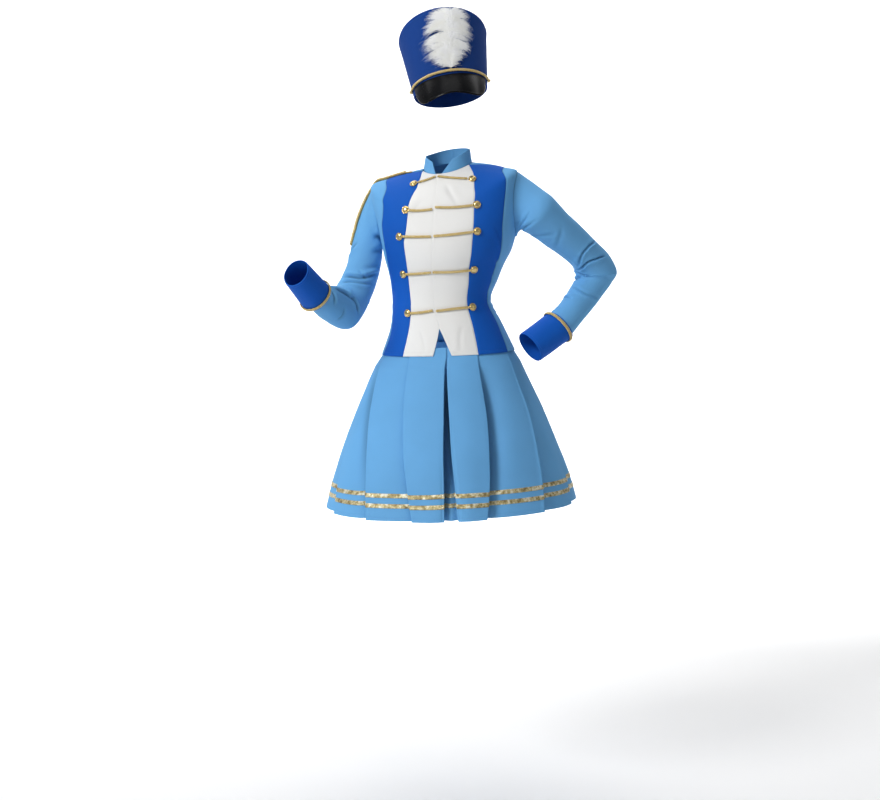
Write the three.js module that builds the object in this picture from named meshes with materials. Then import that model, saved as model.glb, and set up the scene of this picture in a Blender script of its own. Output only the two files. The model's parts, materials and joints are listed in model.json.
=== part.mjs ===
// Majorette costume: jacket bodice with pleated skirt, and the matching shako hat with its plume.
// Millimetres, +Z up, the front faces -Y, the wearer's left is +X. The origin is at the neck, where the costume is held up.
import * as THREE from "three";

// ---- driving sizes ----------------------------------------------------------------------------
const CLOTH = 2.0;          // wall of the dress cloth
const CUFF_WALL = 2.2;      // wall of the stiffened cuffs and collar
const HAT_WALL = 2.4;       // wall of the hat
const SEAM = 0.18;          // each piece stops this far short of its seam line
const LIFT = 0.6;           // clearance under whatever lies on a panel
const BUTTON_R = 9.5, BUTTON_H = 5.0, BUTTON_RIM = 1.6;
const BRAID_HW = 4.0, BRAID_HT = 1.8;      // chest braid, half width and half thickness
const TRIM_HW = 4.3, TRIM_HT = 1.8;        // cuff trim
const CORD_R = 4.6, CORD_T = 3.2;          // shoulder cord, half width and half thickness
const HATCORD_R = 3.6;                     // hat cord
const COLLAR_H = 30;
const RIBBON_W = 10.6, RIBBON_T = 1.0, RIBBON_LOW = 36, RIBBON_HIGH = 61;   // measured up from the hem

const BLUE = 0x74b0e2, ROYAL = 0x1a52b4, WHITE = 0xf2f2f0, GOLD = 0xc8a550, HATBLUE = 0x1c3f92, BLACK = 0x15171b, IVORY = 0xe6e6dc;

// ---- torso: one row per ring, from the neck seam down to the bodice hem -----------------------------
// zSide, zFront, zBack, halfWidth, depthFront, depthBack, cx, cy, yaw, roll, power
const T_COL = { zSide: 0, zFront: 1, zBack: 2, halfWidth: 3, depthFront: 4, depthBack: 5, cx: 6, cy: 7, yaw: 8, roll: 9, power: 10 };
const TORSO = [
  [12, -6, 20, 62, 62, 56, 2, 4, 14, 7.0, 2.0],          // neck seam
  [9, -19, 10, 82, 76, 72, 1, 4, 14, 6.5, 2.0],
  [2, -37, -6, 116, 93, 90, 0, 5, 14, 6.0, 2.05],
  [-7, -60, -32, 151, 106, 104, -4, 5, 14, 5.5, 2.1],
  [-16, -82, -60, 180, 114, 112, -7, 5, 14, 5.5, 2.15],  // shoulder tip
  [-36, -103, -88, 183, 119, 116, -5, 4, 14, 5.0, 2.2],
  [-68, -124, -116, 180, 123, 118, -2, 3, 14, 5.0, 2.25],
  [-106, -146, -143, 175, 128, 117, 2, 2, 14, 4.5, 2.25],
  [-146, -170, -170, 169, 131, 114, 4, 1, 14, 4.0, 2.2],  // underarm
  [-200, -208, -203, 157, 126, 106, 3, 0, 13, 4.0, 2.15],
  [-236, -240, -238, 143, 113, 99, -2, -2, 12, 4.0, 2.1],
  [-270, -272, -270, 132, 102, 93, -6, -4, 10, 4.0, 2.1],
  [-322, -322, -322, 121, 95, 88, -13, -6, 8, 4.0, 2.1],   // waist
  [-378, -378, -378, 138, 106, 102, -2, -4, 9, 3.0, 2.1],
  [-443, -443, -443, 165, 122, 122, 3, 0, 9, 2.3, 2.1],    // bodice hem
];
// seam lines of the bodice, angles in degrees (0 wearer's left side, -90 centre front, -180 wearer's right side)
// plastronR, plastronL, centre, panelS (ring number of the royal panel's outer edge), panelR, panelL
const SEAMS = [
  [-152, -22, -101, 2.8, -186, 6],
  [-131, -33, -96, 3.0, -155, -12],
  [-117, -45, -92, 3.4, -142, -20],
  [-112, -53.5, -90, 4, -136, -25],
  [-108.5, -58, -89.5, 5, -134.7, -27],
  [-108.5, -60, -89.7, 6, -137.7, -29],
  [-110, -61, -90.4, 7, -144.6, -30.4],
  [-113, -61.5, -91.4, 8, -148.2, -29.3],
  [-117, -61.2, -92.3, 9, -152.3, -25],
  [-119, -60.5, -93.4, 10, -158, -23],
  [-120.5, -58.8, -94, 11, -163, -22],
  [-122, -57, -94.2, 12, -166, -17],
  [-121, -54, -92.1, 12.7, -161, -16],
  [-123.5, -56, -90.2, 13.4, -158, -18],
  [-124.5, -58, -90.3, 14, -161.2, -21.8],
];
const S_COL = { plastronR: 0, plastronL: 1, centre: 2, panelS: 3, panelR: 4, panelL: 5 };
const TAIL = { from: 13.0, right: 5.5, left: 9.0 };      // the plastron opens into two tails below this ring, degrees at the hem
const ARMHOLE = { mid: 6.3, half: 2.15, centre: 10, swing: 24 };   // ring numbers and degrees
const SHOULDER = [[0, -22], [2.8, 6], [4.15, 10]];       // shoulder seam, ring number and angle, wearer's left

// ---- sleeves: a row per section, outer and inner edge in X and Z, then Y and the half depth ---------------
const A_COL = { xOut: 0, zOut: 1, xIn: 2, zIn: 3, y: 4, depth: 5 };
const ARM = {
  left: [
    [252, -62, 178, -143, -40, 52], [290, -101, 209, -160, -22, 48], [330, -138, 255, -191, -2, 45], [369, -176, 289, -216, 18, 44],
    [404, -211, 310, -234, 36, 45], [421, -248, 318, -250, 46, 45], [407, -276, 316, -268, 44, 42], [386, -304, 305, -285, 36, 40],
    [360, -336, 289, -309, 20, 38], [333, -366, 270, -331, 2, 37], [297, -409, 247, -353, -19, 36]],
  right: [
    [-228, -148, -160, -194, 62, 47], [-238, -194, -162, -219, 50, 46], [-248, -233, -167, -251, 36, 45], [-260, -262, -176, -285, 22, 45],
    [-270, -278, -190, -321, 6, 45], [-271, -282, -211, -359, -14, 44], [-271, -281, -238, -384, -42, 43], [-274, -278, -268, -374, -72, 41],
    [-278, -276, -294, -358, -98, 39], [-281, -277, -315, -339, -120, 37], [-293, -281.5, -335, -315.5, -143, 31]],
};
const CUFF = {
  left: [[305, -408, 249, -345, -16, 40], [265, -434.5, 213.5, -369.5, -35, 40.5], [225, -461, 178, -394, -54, 41]],
  right: [[-280, -276, -341, -328, -138, 38], [-304.5, -246.5, -360, -297, -173, 37], [-329, -217, -379, -266, -208, 36]],
};

// ---- skirt: a row per ring below the bodice hem -------------------------------------------------------------
// z, halfWidth, depthFront, depthBack, cx, cy, yaw, roll, pleat (half height of a pleat's step)
const SKIRT = [
  [-470, 177, 136, 136, 2, 0, 9, 2.3, 3.0],
  [-510, 194, 156, 154, 2, 0, 9, 2.3, 4.5],
  [-589, 229, 199, 193, 4, 0, 9, 2.3, 6.5],
  [-665, 256, 240, 228, 6, 0, 9, 2.3, 8.0],
  [-738, 280, 270, 256, 9, 0, 9, 2.3, 9.0],
  [-814, 301, 298, 282, 11, 0, 9, 2.3, 10.0],
];
// pleat edges, degrees at the waist and at the hem, and which side lies on top: +1 the greater angle, -1 the smaller.
// A box pleat stands left of the centre front, with a narrow recess on its wearer's right; its underside lies at the centre back.
const PLEATS = [
  [-155, -122, 1], [-117, -98.5, 1], [-86, -84.6, -1], [-83.9, -78.3, 1], [-58.8, -66, -1], [-22, -36, -1], [6, -12, -1], [26, 14, -1], [46, 40, -1],
  [66, 65, -1], [88, 90, -1], [110, 114, 1], [132, 138, 1], [152, 162, 1], [171, 186, 1], [188, 212, 1],
];
const PLEAT_CUTS = [0.04, 0.3, 0.58, 0.82, 0.96];        // where a pleat's width is divided

// ---- trims: ring number and angle on the torso ---------------------------------------------------------------
// buttonR (s, t), braidR end at the centre (s, t), braidL start at the centre (s, t), buttonL (s, t)
const FROGS = [
  [1.9, -124.8, 0.64, -99.8, 0.62, -95.6, 2.28, -50.1],
  [4.55, -110.1, 4.45, -90.2, 4.25, -88.6, 5.1, -57.9],
  [7.5, -120.2, 7.44, -92.5, 7.42, -90.9, 7.54, -57.8],
  [10.11, -126.5, 10.04, -94.7, 10.03, -93.2, 10.08, -53.4],
  [12.3, -125.4, 12.23, -93.9, 12.26, -90.9, 12.2, -48],
];
// shoulder cord, wearer's right: on the torso (ring number, angle), then down the sleeve (row, angle round the arm)
const CORD_TORSO = [[1.6, -175], [2.05, -178], [2.65, -180], [3.3, -181], [3.9, -184]];
const CORD_SLEEVE = [[0.25, 12], [0.5, 14], [0.75, 14], [1.0, 12], [1.35, 9], [1.8, 8]];

// ---- hat -------------------------------------------------------------------------------------------------------
const HAT = { cx: 9, cy: -2, cz: 186, tilt: 16, roll: 8.5, height: 144, topSlant: 16, baseW: 90, baseD: 103, topW: 108, topD: 116, topCy: 3, dome: 7 };
const VISOR = { root: 0.055, wall: 2.2 };
// edge of the peak by the angle from its middle: forward reach, drop
const PEAK = [[0, 26, 54], [13, 25.6, 56.5], [26, 24, 60.5], [38, 21, 62], [48, 15.5, 55], [57, 9, 36], [62, 5, 20], [66, 2, 5]];
const HATCORD = { half: 86, mid: 0.108, ends: 0.082 };   // reach either side of the front, height at the front and at the ends
const PLUME = { low: 0.17, high: 0.985, halfWidth: 62, thick: 24, lean: [3, 12.5], rows: 10, cols: 8 };

// ---- small helpers ------------------------------------------------------------------------------------------------
const V = (x, y, z) => new THREE.Vector3(x, y, z);
const rad = THREE.MathUtils.degToRad;
const clamp = (x, a, b) => Math.min(b, Math.max(a, x));
const mix = (a, b, t) => a + (b - a) * t;
function column(table, k, s) {           // smooth value of a table column at a real row number
  const n = table.length; s = clamp(s, 0, n - 1);
  const i = Math.min(Math.floor(s), n - 2), t = s - i;
  const p1 = table[i][k], p2 = table[i + 1][k];
  const p0 = i > 0 ? table[i - 1][k] : 2 * p1 - p2, p3 = i < n - 2 ? table[i + 2][k] : 2 * p2 - p1;
  return 0.5 * (2 * p1 + (p2 - p0) * t + (2 * p0 - 5 * p1 + 4 * p2 - p3) * t * t + (3 * p1 - p0 - 3 * p2 + p3) * t * t * t);
}
const power = (c, e) => Math.sign(c) * Math.pow(Math.abs(c), e);

// a ring of the body: turned by yaw about Z, tipped by roll about Y
function ringPoint(x, y, z, cx, cy, yaw, roll) {
  const a = -rad(yaw), b = rad(roll);
  const X = x * Math.cos(a) - y * Math.sin(a), Y = x * Math.sin(a) + y * Math.cos(a);
  return V(X * Math.cos(b) + cx, Y + cy, z + X * Math.sin(b));
}
function torsoPoint(s, t) {
  const g = (k) => column(TORSO, T_COL[k], s), c = Math.cos(rad(t)), q = Math.sin(rad(t));
  const e = 2 / g("power"), front = q < 0;
  const z = g("zSide") + (g(front ? "zFront" : "zBack") - g("zSide")) * Math.pow(Math.abs(q), 1.6);
  return ringPoint(g("halfWidth") * power(c, e), g(front ? "depthFront" : "depthBack") * power(q, e), z, g("cx"), g("cy"), g("yaw"), g("roll"));
}
function torsoFrame(s, t) {              // point, outward normal and the two directions in the cloth
  const h = 0.04, k = 0.8, s0 = Math.max(0, s - h), s1 = Math.min(TORSO.length - 1, s + h);
  const down = torsoPoint(s1, t).sub(torsoPoint(s0, t)).normalize();
  const round = torsoPoint(s, t + k).sub(torsoPoint(s, t - k)).normalize();
  const n = V().crossVectors(down, round).normalize();
  return { p: torsoPoint(s, t), n, down, round };
}

// ---- closed walls ---------------------------------------------------------------------------------------------------
// outer and inner are grids [row][col] of points; the wall between them is closed all round
function wall(outer, inner, closed) {
  const R = outer.length, C = outer[0].length, pos = [], idx = [];
  const put = (g) => g.forEach((r) => r.forEach((p) => pos.push(p.x, p.y, p.z)));
  put(outer); put(inner);
  const o = (r, c) => r * C + (c % C), i = (r, c) => R * C + r * C + (c % C);
  const quad = (a, b, c, d) => idx.push(a, b, c, a, c, d);
  const last = closed ? C : C - 1;
  for (let r = 0; r < R - 1; r++) for (let c = 0; c < last; c++) {
    quad(o(r, c), o(r + 1, c), o(r + 1, c + 1), o(r, c + 1));
    quad(i(r, c), i(r, c + 1), i(r + 1, c + 1), i(r + 1, c));
  }
  for (let c = 0; c < last; c++) {
    quad(o(0, c), o(0, c + 1), i(0, c + 1), i(0, c));
    quad(o(R - 1, c), i(R - 1, c), i(R - 1, c + 1), o(R - 1, c + 1));
  }
  if (!closed) for (let r = 0; r < R - 1; r++) {
    quad(o(r, 0), i(r, 0), i(r + 1, 0), o(r + 1, 0));
    quad(o(r, C - 1), o(r + 1, C - 1), i(r + 1, C - 1), i(r, C - 1));
  }
  const g = new THREE.BufferGeometry();
  g.setAttribute("position", new THREE.Float32BufferAttribute(pos, 3));
  g.setIndex(idx);
  return g;
}
// turns a closed geometry inside out when its signed volume is negative
function outward(g) {
  const p = g.attributes.position, ix = g.index.array; let v = 0;
  const a = V(), b = V(), c = V();
  for (let k = 0; k < ix.length; k += 3) {
    a.fromBufferAttribute(p, ix[k]); b.fromBufferAttribute(p, ix[k + 1]); c.fromBufferAttribute(p, ix[k + 2]);
    v += a.dot(b.cross(c));
  }
  if (v < 0) for (let k = 0; k < ix.length; k += 3) { const t = ix[k + 1]; ix[k + 1] = ix[k + 2]; ix[k + 2] = t; }
  g.computeVertexNormals();
  return g;
}
const group = new THREE.Group();
group.name = "majorette_costume";
function add(name, geometry, color, roughness, metalness) {
  const m = new THREE.Mesh(outward(geometry), new THREE.MeshStandardMaterial({ color, roughness, metalness }));
  m.name = name; group.add(m);
  return m;
}
// pulls the edge points of a grid back from the seam lines
function pullBack(grid, dist, sides) {
  const R = grid.length, C = grid[0].length;
  const toward = (p, q) => p.p.add(q.p.clone().sub(p.p).setLength(dist));
  if (sides.includes("L")) for (let r = 0; r < R; r++) toward(grid[r][0], grid[r][1]);
  if (sides.includes("R")) for (let r = 0; r < R; r++) toward(grid[r][C - 1], grid[r][C - 2]);
  if (sides.includes("T")) for (let c = 0; c < C; c++) toward(grid[0][c], grid[1][c]);
  if (sides.includes("B")) for (let c = 0; c < C; c++) toward(grid[R - 1][c], grid[R - 2][c]);
}
// a panel of the torso: ruled between two edge lines given as lists of [ring number, angle]
function torsoPanel(name, lineA, lineB, cols, color, stations, sides = "LRTB") {
  const onLine = (line, r) => typeof line === "function" ? line(r) : [column(line, 0, r), column(line, 1, r)];
  const grid = stations.map((r) => {
    const a = onLine(lineA, r), b = onLine(lineB, r), row = [];
    for (let c = 0; c <= cols; c++) { const u = c / cols; row.push(torsoFrame(mix(a[0], b[0], u), mix(a[1], b[1], u))); }
    return row;
  });
  pullBack(grid, SEAM, sides);
  const outer = grid.map((r) => r.map((f) => f.p)), inner = grid.map((r) => r.map((f) => f.p.clone().addScaledVector(f.n, -CLOTH)));
  return add(name, wall(outer, inner, false), color, 0.8, 0);
}

// ---- bodice --------------------------------------------------------------------------------------------------------
const FRONT_ROWS = [0, 1, 2, 3, 4, 5, 6, 7, 8, 9, 10, 11, 11.5, 12, 12.5, 13, 13.5, 14];
const seam = (k) => SEAMS.map((r, i) => [i, r[S_COL[k]]]);
const royalEdge = (k) => SEAMS.map((r) => [r[S_COL.panelS], r[S_COL[k]]]);
const opened = (list, sign, width) => (r) => {       // a centre edge that swings away below the point where the tails part
  const s = column(list, 0, r), last = TORSO.length - 1;
  return [s, column(list, 1, r) + sign * width * clamp((s - TAIL.from) / (last - TAIL.from), 0, 1)];
};
const mirror = ([s, t]) => [s, -180 - t];
const armLine = (sign) => {               // from the shoulder tip to the underarm, wearer's left; sign -1 front, +1 back
  const out = [];
  for (let k = 0; k <= 8; k++) { const q = Math.PI * k / 8; out.push([ARMHOLE.mid - ARMHOLE.half * Math.cos(q), ARMHOLE.centre + sign * ARMHOLE.swing * Math.sin(q)]); }
  return out;
};
const under = ARMHOLE.mid + ARMHOLE.half;
const sideLine = [1, 2, 3, 4, 5, 6].map((k) => [mix(under, TORSO.length - 1, k / 6), ARMHOLE.centre]);
const frontSide = [...armLine(-1), ...sideLine], backSide = [...armLine(1), ...sideLine];
const centre = seam("centre");

torsoPanel("plastron_right", seam("plastronR"), opened(centre, -1, TAIL.right), 4, WHITE, FRONT_ROWS);
torsoPanel("plastron_left", opened(centre, 1, TAIL.left), seam("plastronL"), 5, WHITE, FRONT_ROWS);
torsoPanel("royal_panel_right", royalEdge("panelR"), seam("plastronR"), 4, ROYAL, FRONT_ROWS);
torsoPanel("royal_panel_left", seam("plastronL"), royalEdge("panelL"), 4, ROYAL, FRONT_ROWS);
torsoPanel("side_front_right", frontSide.map(mirror), royalEdge("panelR"), 3, BLUE, FRONT_ROWS);
torsoPanel("side_front_left", royalEdge("panelL"), frontSide, 3, BLUE, FRONT_ROWS);
// shoulder seam in the same steps as the tops of the front panels
const shoulderSteps = [];
for (let k = 0; k < 4; k++) shoulderSteps.push([mix(SHOULDER[0][0], SHOULDER[1][0], k / 4), mix(SHOULDER[0][1], SHOULDER[1][1], k / 4)]);
for (let k = 0; k < 3; k++) shoulderSteps.push([mix(SHOULDER[1][0], SHOULDER[2][0], k / 3), mix(SHOULDER[1][1], SHOULDER[2][1], k / 3)]);
const backLeft = [...shoulderSteps, ...backSide], backRight = backLeft.map(([s, t]) => [s, 180 - t]);
torsoPanel("back", backLeft, backRight, 12, BLUE, [...shoulderSteps.map((_, i) => i), ...FRONT_ROWS.map((r) => r + shoulderSteps.length)]);

// collar: two halves standing up from the neck seam, cut back at the front in a V
function collarPoint(t, h) {             // h from 0 at the neck seam to 1 at the top edge
  const f = torsoFrame(0, t), mid = V(2, 4, 0);
  const inward = mid.sub(f.p).setZ(0).normalize();
  return f.p.clone().add(V(0, 0, 1.6 + COLLAR_H * h)).addScaledVector(inward, 2.0 + 5 * h);
}
function collar(name, tFront, tFrontTop, tBack) {
  const outer = [], inner = [], C = 9;
  for (const h of [0, 0.5, 1]) {
    const a = [], b = [];
    for (let c = 0; c <= C; c++) {
      const u = c / C, t = mix(mix(tFront, tFrontTop, h), tBack, u), hh = h * (1 - 0.12 * Math.pow(1 - u, 6));
      const p = collarPoint(t, hh), q = collarPoint(t + 1, hh).sub(collarPoint(t - 1, hh)).normalize();
      const n = V().crossVectors(q, V(0, 0, 1)).normalize();
      if (n.dot(p.clone().sub(V(2, 4, p.z))) < 0) n.negate();
      a.push(p); b.push(p.clone().addScaledVector(n, -CUFF_WALL));
    }
    outer.push(a); inner.push(b);
  }
  return add(name, wall(outer, inner, false), BLUE, 0.8, 0);
}
collar("collar_left", -92, -70, 89.7);
collar("collar_right", -106, -118, -269.7);

// ---- sleeves ---------------------------------------------------------------------------------------------------------
function tubeSection(rows, v, side) {      // centre, outer vector, front vector at a real row number
  const g = (k) => column(rows, A_COL[k], v);
  const at = (w) => V((column(rows, 0, w) + column(rows, 2, w)) / 2, column(rows, 4, w), (column(rows, 1, w) + column(rows, 3, w)) / 2);
  const c = at(v), T = at(Math.min(v + 0.05, rows.length - 1)).sub(at(Math.max(v - 0.05, 0))).normalize();
  const N = V((g("xOut") - g("xIn")) / 2, 0, (g("zOut") - g("zIn")) / 2);
  const B = V().crossVectors(T, N).normalize().multiplyScalar(side === "left" ? g("depth") : -g("depth"));
  return { c, T, N, B };
}
const tubePoint = (f, phi) => f.c.clone().addScaledVector(f.N, Math.cos(phi)).addScaledVector(f.B, Math.sin(phi));
function holeFrame(side, phi) {            // point on the armhole line; phi 0 at the shoulder tip, positive toward the front
  const s = ARMHOLE.mid - ARMHOLE.half * Math.cos(phi), t = ARMHOLE.centre - ARMHOLE.swing * Math.sin(phi);
  const m = side === "left" ? t : -180 - t, f = torsoFrame(s, m);
  const hub = torsoPoint(ARMHOLE.mid, side === "left" ? ARMHOLE.centre : -180 - ARMHOLE.centre);
  const e = hub.sub(f.p); e.addScaledVector(f.n, -e.dot(f.n)).normalize();    // in the cloth, toward the middle of the hole
  return { ...f, e };
}
const CAP_ROWS = 1;                        // the sleeve head runs from row 0 to row 1, the sections follow
function sleevePoint(side, v, phi) {
  const rows = ARM[side];
  if (v >= CAP_ROWS) return tubePoint(tubeSection(rows, v - CAP_ROWS, side), phi);
  const h = holeFrame(side, phi), sec = tubeSection(rows, 0, side), q = tubePoint(sec, phi);
  const start = h.p.clone().addScaledVector(h.e, SEAM + 0.35);
  const span = q.distanceTo(start), w = (1 + Math.cos(phi)) / 2;               // 1 over the shoulder, 0 under the arm
  const m0 = h.e.clone().multiplyScalar(mix(0.15, 0.75, w)).addScaledVector(sec.T, mix(0.85, 0.35, w)).addScaledVector(h.n, mix(0.25, 0.35, w)).normalize().multiplyScalar(span * 1.1);
  const m1 = sec.T.clone().multiplyScalar(span * 1.0), t = v / CAP_ROWS, t2 = t * t, t3 = t2 * t;
  return start.multiplyScalar(2 * t3 - 3 * t2 + 1).addScaledVector(m0, t3 - 2 * t2 + t).addScaledVector(q, -2 * t3 + 3 * t2).addScaledVector(m1, t3 - t2);
}
function tubeNormal(point, v, phi, vMax, axisAt) {
  const dv = 0.05, dp = 0.06;
  const a = point(Math.min(v + dv, vMax), phi).sub(point(Math.max(v - dv, 0), phi)), b = point(v, phi + dp).sub(point(v, phi - dp));
  const n = V().crossVectors(a, b).normalize();
  if (n.dot(point(v, phi).sub(axisAt(v))) < 0) n.negate();
  return n;
}
const AROUND = 16;
const ringMean = (point, v) => { const c = V(); for (let k = 0; k < 12; k++) c.add(point(v, 2 * Math.PI * k / 12)); return c.multiplyScalar(1 / 12); };
function tube(point, stations, wallT, vMax, firstRow) {
  const outer = [], inner = [];
  stations.forEach((v, r) => {
    const mid = ringMean(point, v), a = [], b = [];
    for (let k = 0; k < AROUND; k++) {
      const phi = 2 * Math.PI * k / AROUND, p = point(v, phi);
      let n = tubeNormal(point, v, phi, vMax, () => mid);
      if (r === 0 && firstRow) n = firstRow(n, phi);
      a.push(p); b.push(p.clone().addScaledVector(n, -wallT));
    }
    outer.push(a); inner.push(b);
  });
  return wall(outer, inner, true);
}
const SLEEVE_END = ARM.left.length - 1 + CAP_ROWS;
const ELBOW = { row: 6, gap: 0.006 };      // each sleeve is one piece of cloth, held in two solids that part at the elbow
for (const side of ["left", "right"]) {
  const pt = (v, phi) => sleevePoint(side, v, phi);
  const upper = [0, 0.25, 0.5, 0.75, 1, 2, 3, 4, 5, 5.5, ELBOW.row - ELBOW.gap], lower = [ELBOW.row + ELBOW.gap, 6.5, 7, 8, 9, 10, SLEEVE_END];
  const first = (n, phi) => {              // keeps the sleeve's first inner row off the armhole edge
    const e = holeFrame(side, phi).e, m = n.clone().negate(), k = m.dot(e);
    if (k < 0) m.addScaledVector(e, -k);
    return m.normalize().negate();
  };
  add(`sleeve_${side}_upper`, tube(pt, upper, CLOTH, SLEEVE_END, first), BLUE, 0.8, 0);
  add(`sleeve_${side}_lower`, tube(pt, lower, CLOTH, SLEEVE_END, null), BLUE, 0.8, 0);
  const cuffAt = (v, phi) => tubePoint(tubeSection(CUFF[side], v, side), phi);
  add(`cuff_${side}`, tube(cuffAt, [0, 1, 2], CUFF_WALL, 2, null), ROYAL, 0.8, 0);
}

// ---- cords and braids: an oval section carried along a line of points and normals -----------------------------------------
function strand(points, normals, halfW, halfT, closed, sides = 6) {
  const n = points.length, rings = [];
  for (let i = 0; i < n; i++) {
    const a = points[closed ? (i + n - 1) % n : Math.max(i - 1, 0)], b = points[closed ? (i + 1) % n : Math.min(i + 1, n - 1)];
    const T = b.clone().sub(a).normalize(), N = normals[i].clone().addScaledVector(T, -normals[i].dot(T)).normalize(), S = V().crossVectors(T, N);
    const ring = [];
    for (let k = 0; k < sides; k++) { const w = 2 * Math.PI * (k + 0.5) / sides; ring.push(points[i].clone().addScaledVector(N, halfT * Math.cos(w)).addScaledVector(S, halfW * Math.sin(w))); }
    rings.push(ring);
  }
  const pos = [], idx = []; rings.forEach((r) => r.forEach((p) => pos.push(p.x, p.y, p.z)));
  const at = (r, k) => (r % n) * sides + (k % sides), last = closed ? n : n - 1;
  for (let r = 0; r < last; r++) for (let k = 0; k < sides; k++) idx.push(at(r, k), at(r + 1, k), at(r + 1, k + 1), at(r, k), at(r + 1, k + 1), at(r, k + 1));
  if (!closed) for (let k = 1; k < sides - 1; k++) { idx.push(at(0, 0), at(0, k), at(0, k + 1)); idx.push(at(n - 1, 0), at(n - 1, k + 1), at(n - 1, k)); }
  const g = new THREE.BufferGeometry();
  g.setAttribute("position", new THREE.Float32BufferAttribute(pos, 3)); g.setIndex(idx);
  return g;
}
for (const side of ["left", "right"]) {    // gold trim round the top of each cuff
  const cuffAt = (v, phi) => tubePoint(tubeSection(CUFF[side], v, side), phi), pts = [], nor = [];
  for (let k = 0; k < 18; k++) {
    const phi = 2 * Math.PI * k / 18, mid = ringMean(cuffAt, 0.16), n = tubeNormal(cuffAt, 0.16, phi, 2, () => mid);
    pts.push(cuffAt(0.16, phi).addScaledVector(n, TRIM_HT + LIFT)); nor.push(n);
  }
  add(`cuff_trim_${side}`, strand(pts, nor, TRIM_HW, TRIM_HT, true), GOLD, 0.4, 0.7);
}

// ---- buttons and braids down the front --------------------------------------------------------------------------------------
function button(name, f) {
  const profile = [[0, 0], [BUTTON_R * 0.92, 0], [BUTTON_R, BUTTON_RIM * 0.6], [BUTTON_R * 0.86, BUTTON_RIM], [BUTTON_R * 0.55, BUTTON_H * 0.82], [0, BUTTON_H]];
  const seg = 10, pos = [0, 0, 0, 0, 0, BUTTON_H], idx = [], mids = profile.slice(1, -1);
  mids.forEach(([r, z]) => { for (let k = 0; k < seg; k++) pos.push(r * Math.cos(2 * Math.PI * k / seg), r * Math.sin(2 * Math.PI * k / seg), z); });
  const at = (r, k) => 2 + r * seg + (k % seg);
  for (let k = 0; k < seg; k++) {
    idx.push(0, at(0, k + 1), at(0, k));
    for (let r = 0; r < mids.length - 1; r++) idx.push(at(r, k), at(r, k + 1), at(r + 1, k + 1), at(r, k), at(r + 1, k + 1), at(r + 1, k));
    idx.push(at(mids.length - 1, k), at(mids.length - 1, k + 1), 1);
  }
  const g = new THREE.BufferGeometry();
  g.setAttribute("position", new THREE.Float32BufferAttribute(pos, 3)); g.setIndex(idx);
  const q = new THREE.Quaternion().setFromUnitVectors(V(0, 0, 1), f.n), base = f.p.clone().addScaledVector(f.n, LIFT + 0.9);
  g.applyQuaternion(q); g.translate(base.x, base.y, base.z);
  return add(name, g, GOLD, 0.3, 0.9);
}
const SIDE = { right: [0, 1, 2, 3], left: [6, 7, 4, 5] };
FROGS.forEach((row, i) => {
  for (const side of ["right", "left"]) {
    const [a, b, c, d] = SIDE[side], s0 = row[a], t0 = row[b], s1 = row[c], t1 = row[d];
    const f = torsoFrame(s0, t0); button(`button_${side}_${i + 1}`, f);
    const pts = [], nor = [], end = torsoPoint(s1, t1), len = end.distanceTo(f.p), from = (BUTTON_R + 0.8) / len;
    for (let k = 0; k <= 6; k++) {
      const u = mix(from, 1, k / 6), g = torsoFrame(mix(s0, s1, u), mix(t0, t1, u));
      pts.push(g.p.clone().addScaledVector(g.n, BRAID_HT + LIFT + 0.3)); nor.push(g.n);
    }
    add(`braid_${side}_${i + 1}`, strand(pts, nor, BRAID_HW, BRAID_HT, false), GOLD, 0.4, 0.7);
  }
});

// ---- shoulder cord of the wearer's right shoulder ------------------------------------------------------------------------------
{
  const pts = [], nor = [], pt = (v, phi) => sleevePoint("right", v, phi);
  for (const [s, t] of CORD_TORSO) { const f = torsoFrame(s, t); pts.push(f.p.clone().addScaledVector(f.n, CORD_T + LIFT + 0.9)); nor.push(f.n); }
  for (const [v, deg] of CORD_SLEEVE) {
    const phi = rad(deg), mid = ringMean(pt, v), n = tubeNormal(pt, v, phi, SLEEVE_END, () => mid);
    pts.push(pt(v, phi).addScaledVector(n, CORD_T + LIFT + 2.0)); nor.push(n);
  }
  add("shoulder_cord", strand(pts, nor, CORD_R, CORD_T, false, 8), GOLD, 0.4, 0.7);
}

// ---- skirt -------------------------------------------------------------------------------------------------------------------------
function lapHeight(u, first, last) {        // height of a pleat's face between its two edges, -1 under, +1 on top
  if (first === last) return first * (0.8 + 0.2 * Math.abs(2 * u - 1));
  return first + (last - first) * (first < 0 ? Math.pow(u, 0.8) : 1 - Math.pow(1 - u, 0.8));
}
function pleatColumns() {                  // angle at the waist, angle at the hem, height in the lap from -1 to +1
  const out = [], n = PLEATS.length;
  for (let i = 0; i < n; i++) {
    const a = PLEATS[i], b = i + 1 < n ? PLEATS[i + 1] : [PLEATS[0][0] + 360, PLEATS[0][1] + 360, PLEATS[0][2]];
    for (const f of PLEAT_CUTS) out.push([mix(a[0], b[0], f), mix(a[1], b[1], f), lapHeight((f - 0.04) / 0.92, a[2], -b[2])]);
  }
  return out;
}
const COLS = pleatColumns(), Z_TOP = -443, Z_HEM = SKIRT[SKIRT.length - 1][0];
function skirtPoint(row, col) {
  const [tw, th, lap] = col;
  if (row < 2) {                           // the top of the skirt is tucked up inside the bodice hem
    const f = torsoFrame(row === 0 ? 13.7 : 14, tw);
    return f.p.clone().addScaledVector(f.n, -(CLOTH + 1.3));
  }
  const [z, w, df, db, cx, cy, yaw, roll, pleat] = SKIRT[row - 2], t = mix(tw, th, (z - Z_TOP) / (Z_HEM - Z_TOP));
  const c = Math.cos(rad(t)), q = Math.sin(rad(t)), h = pleat * lap;
  return ringPoint((w + h) * c, ((q < 0 ? df : db) + h) * q, z, cx, cy, yaw, roll);
}
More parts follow.
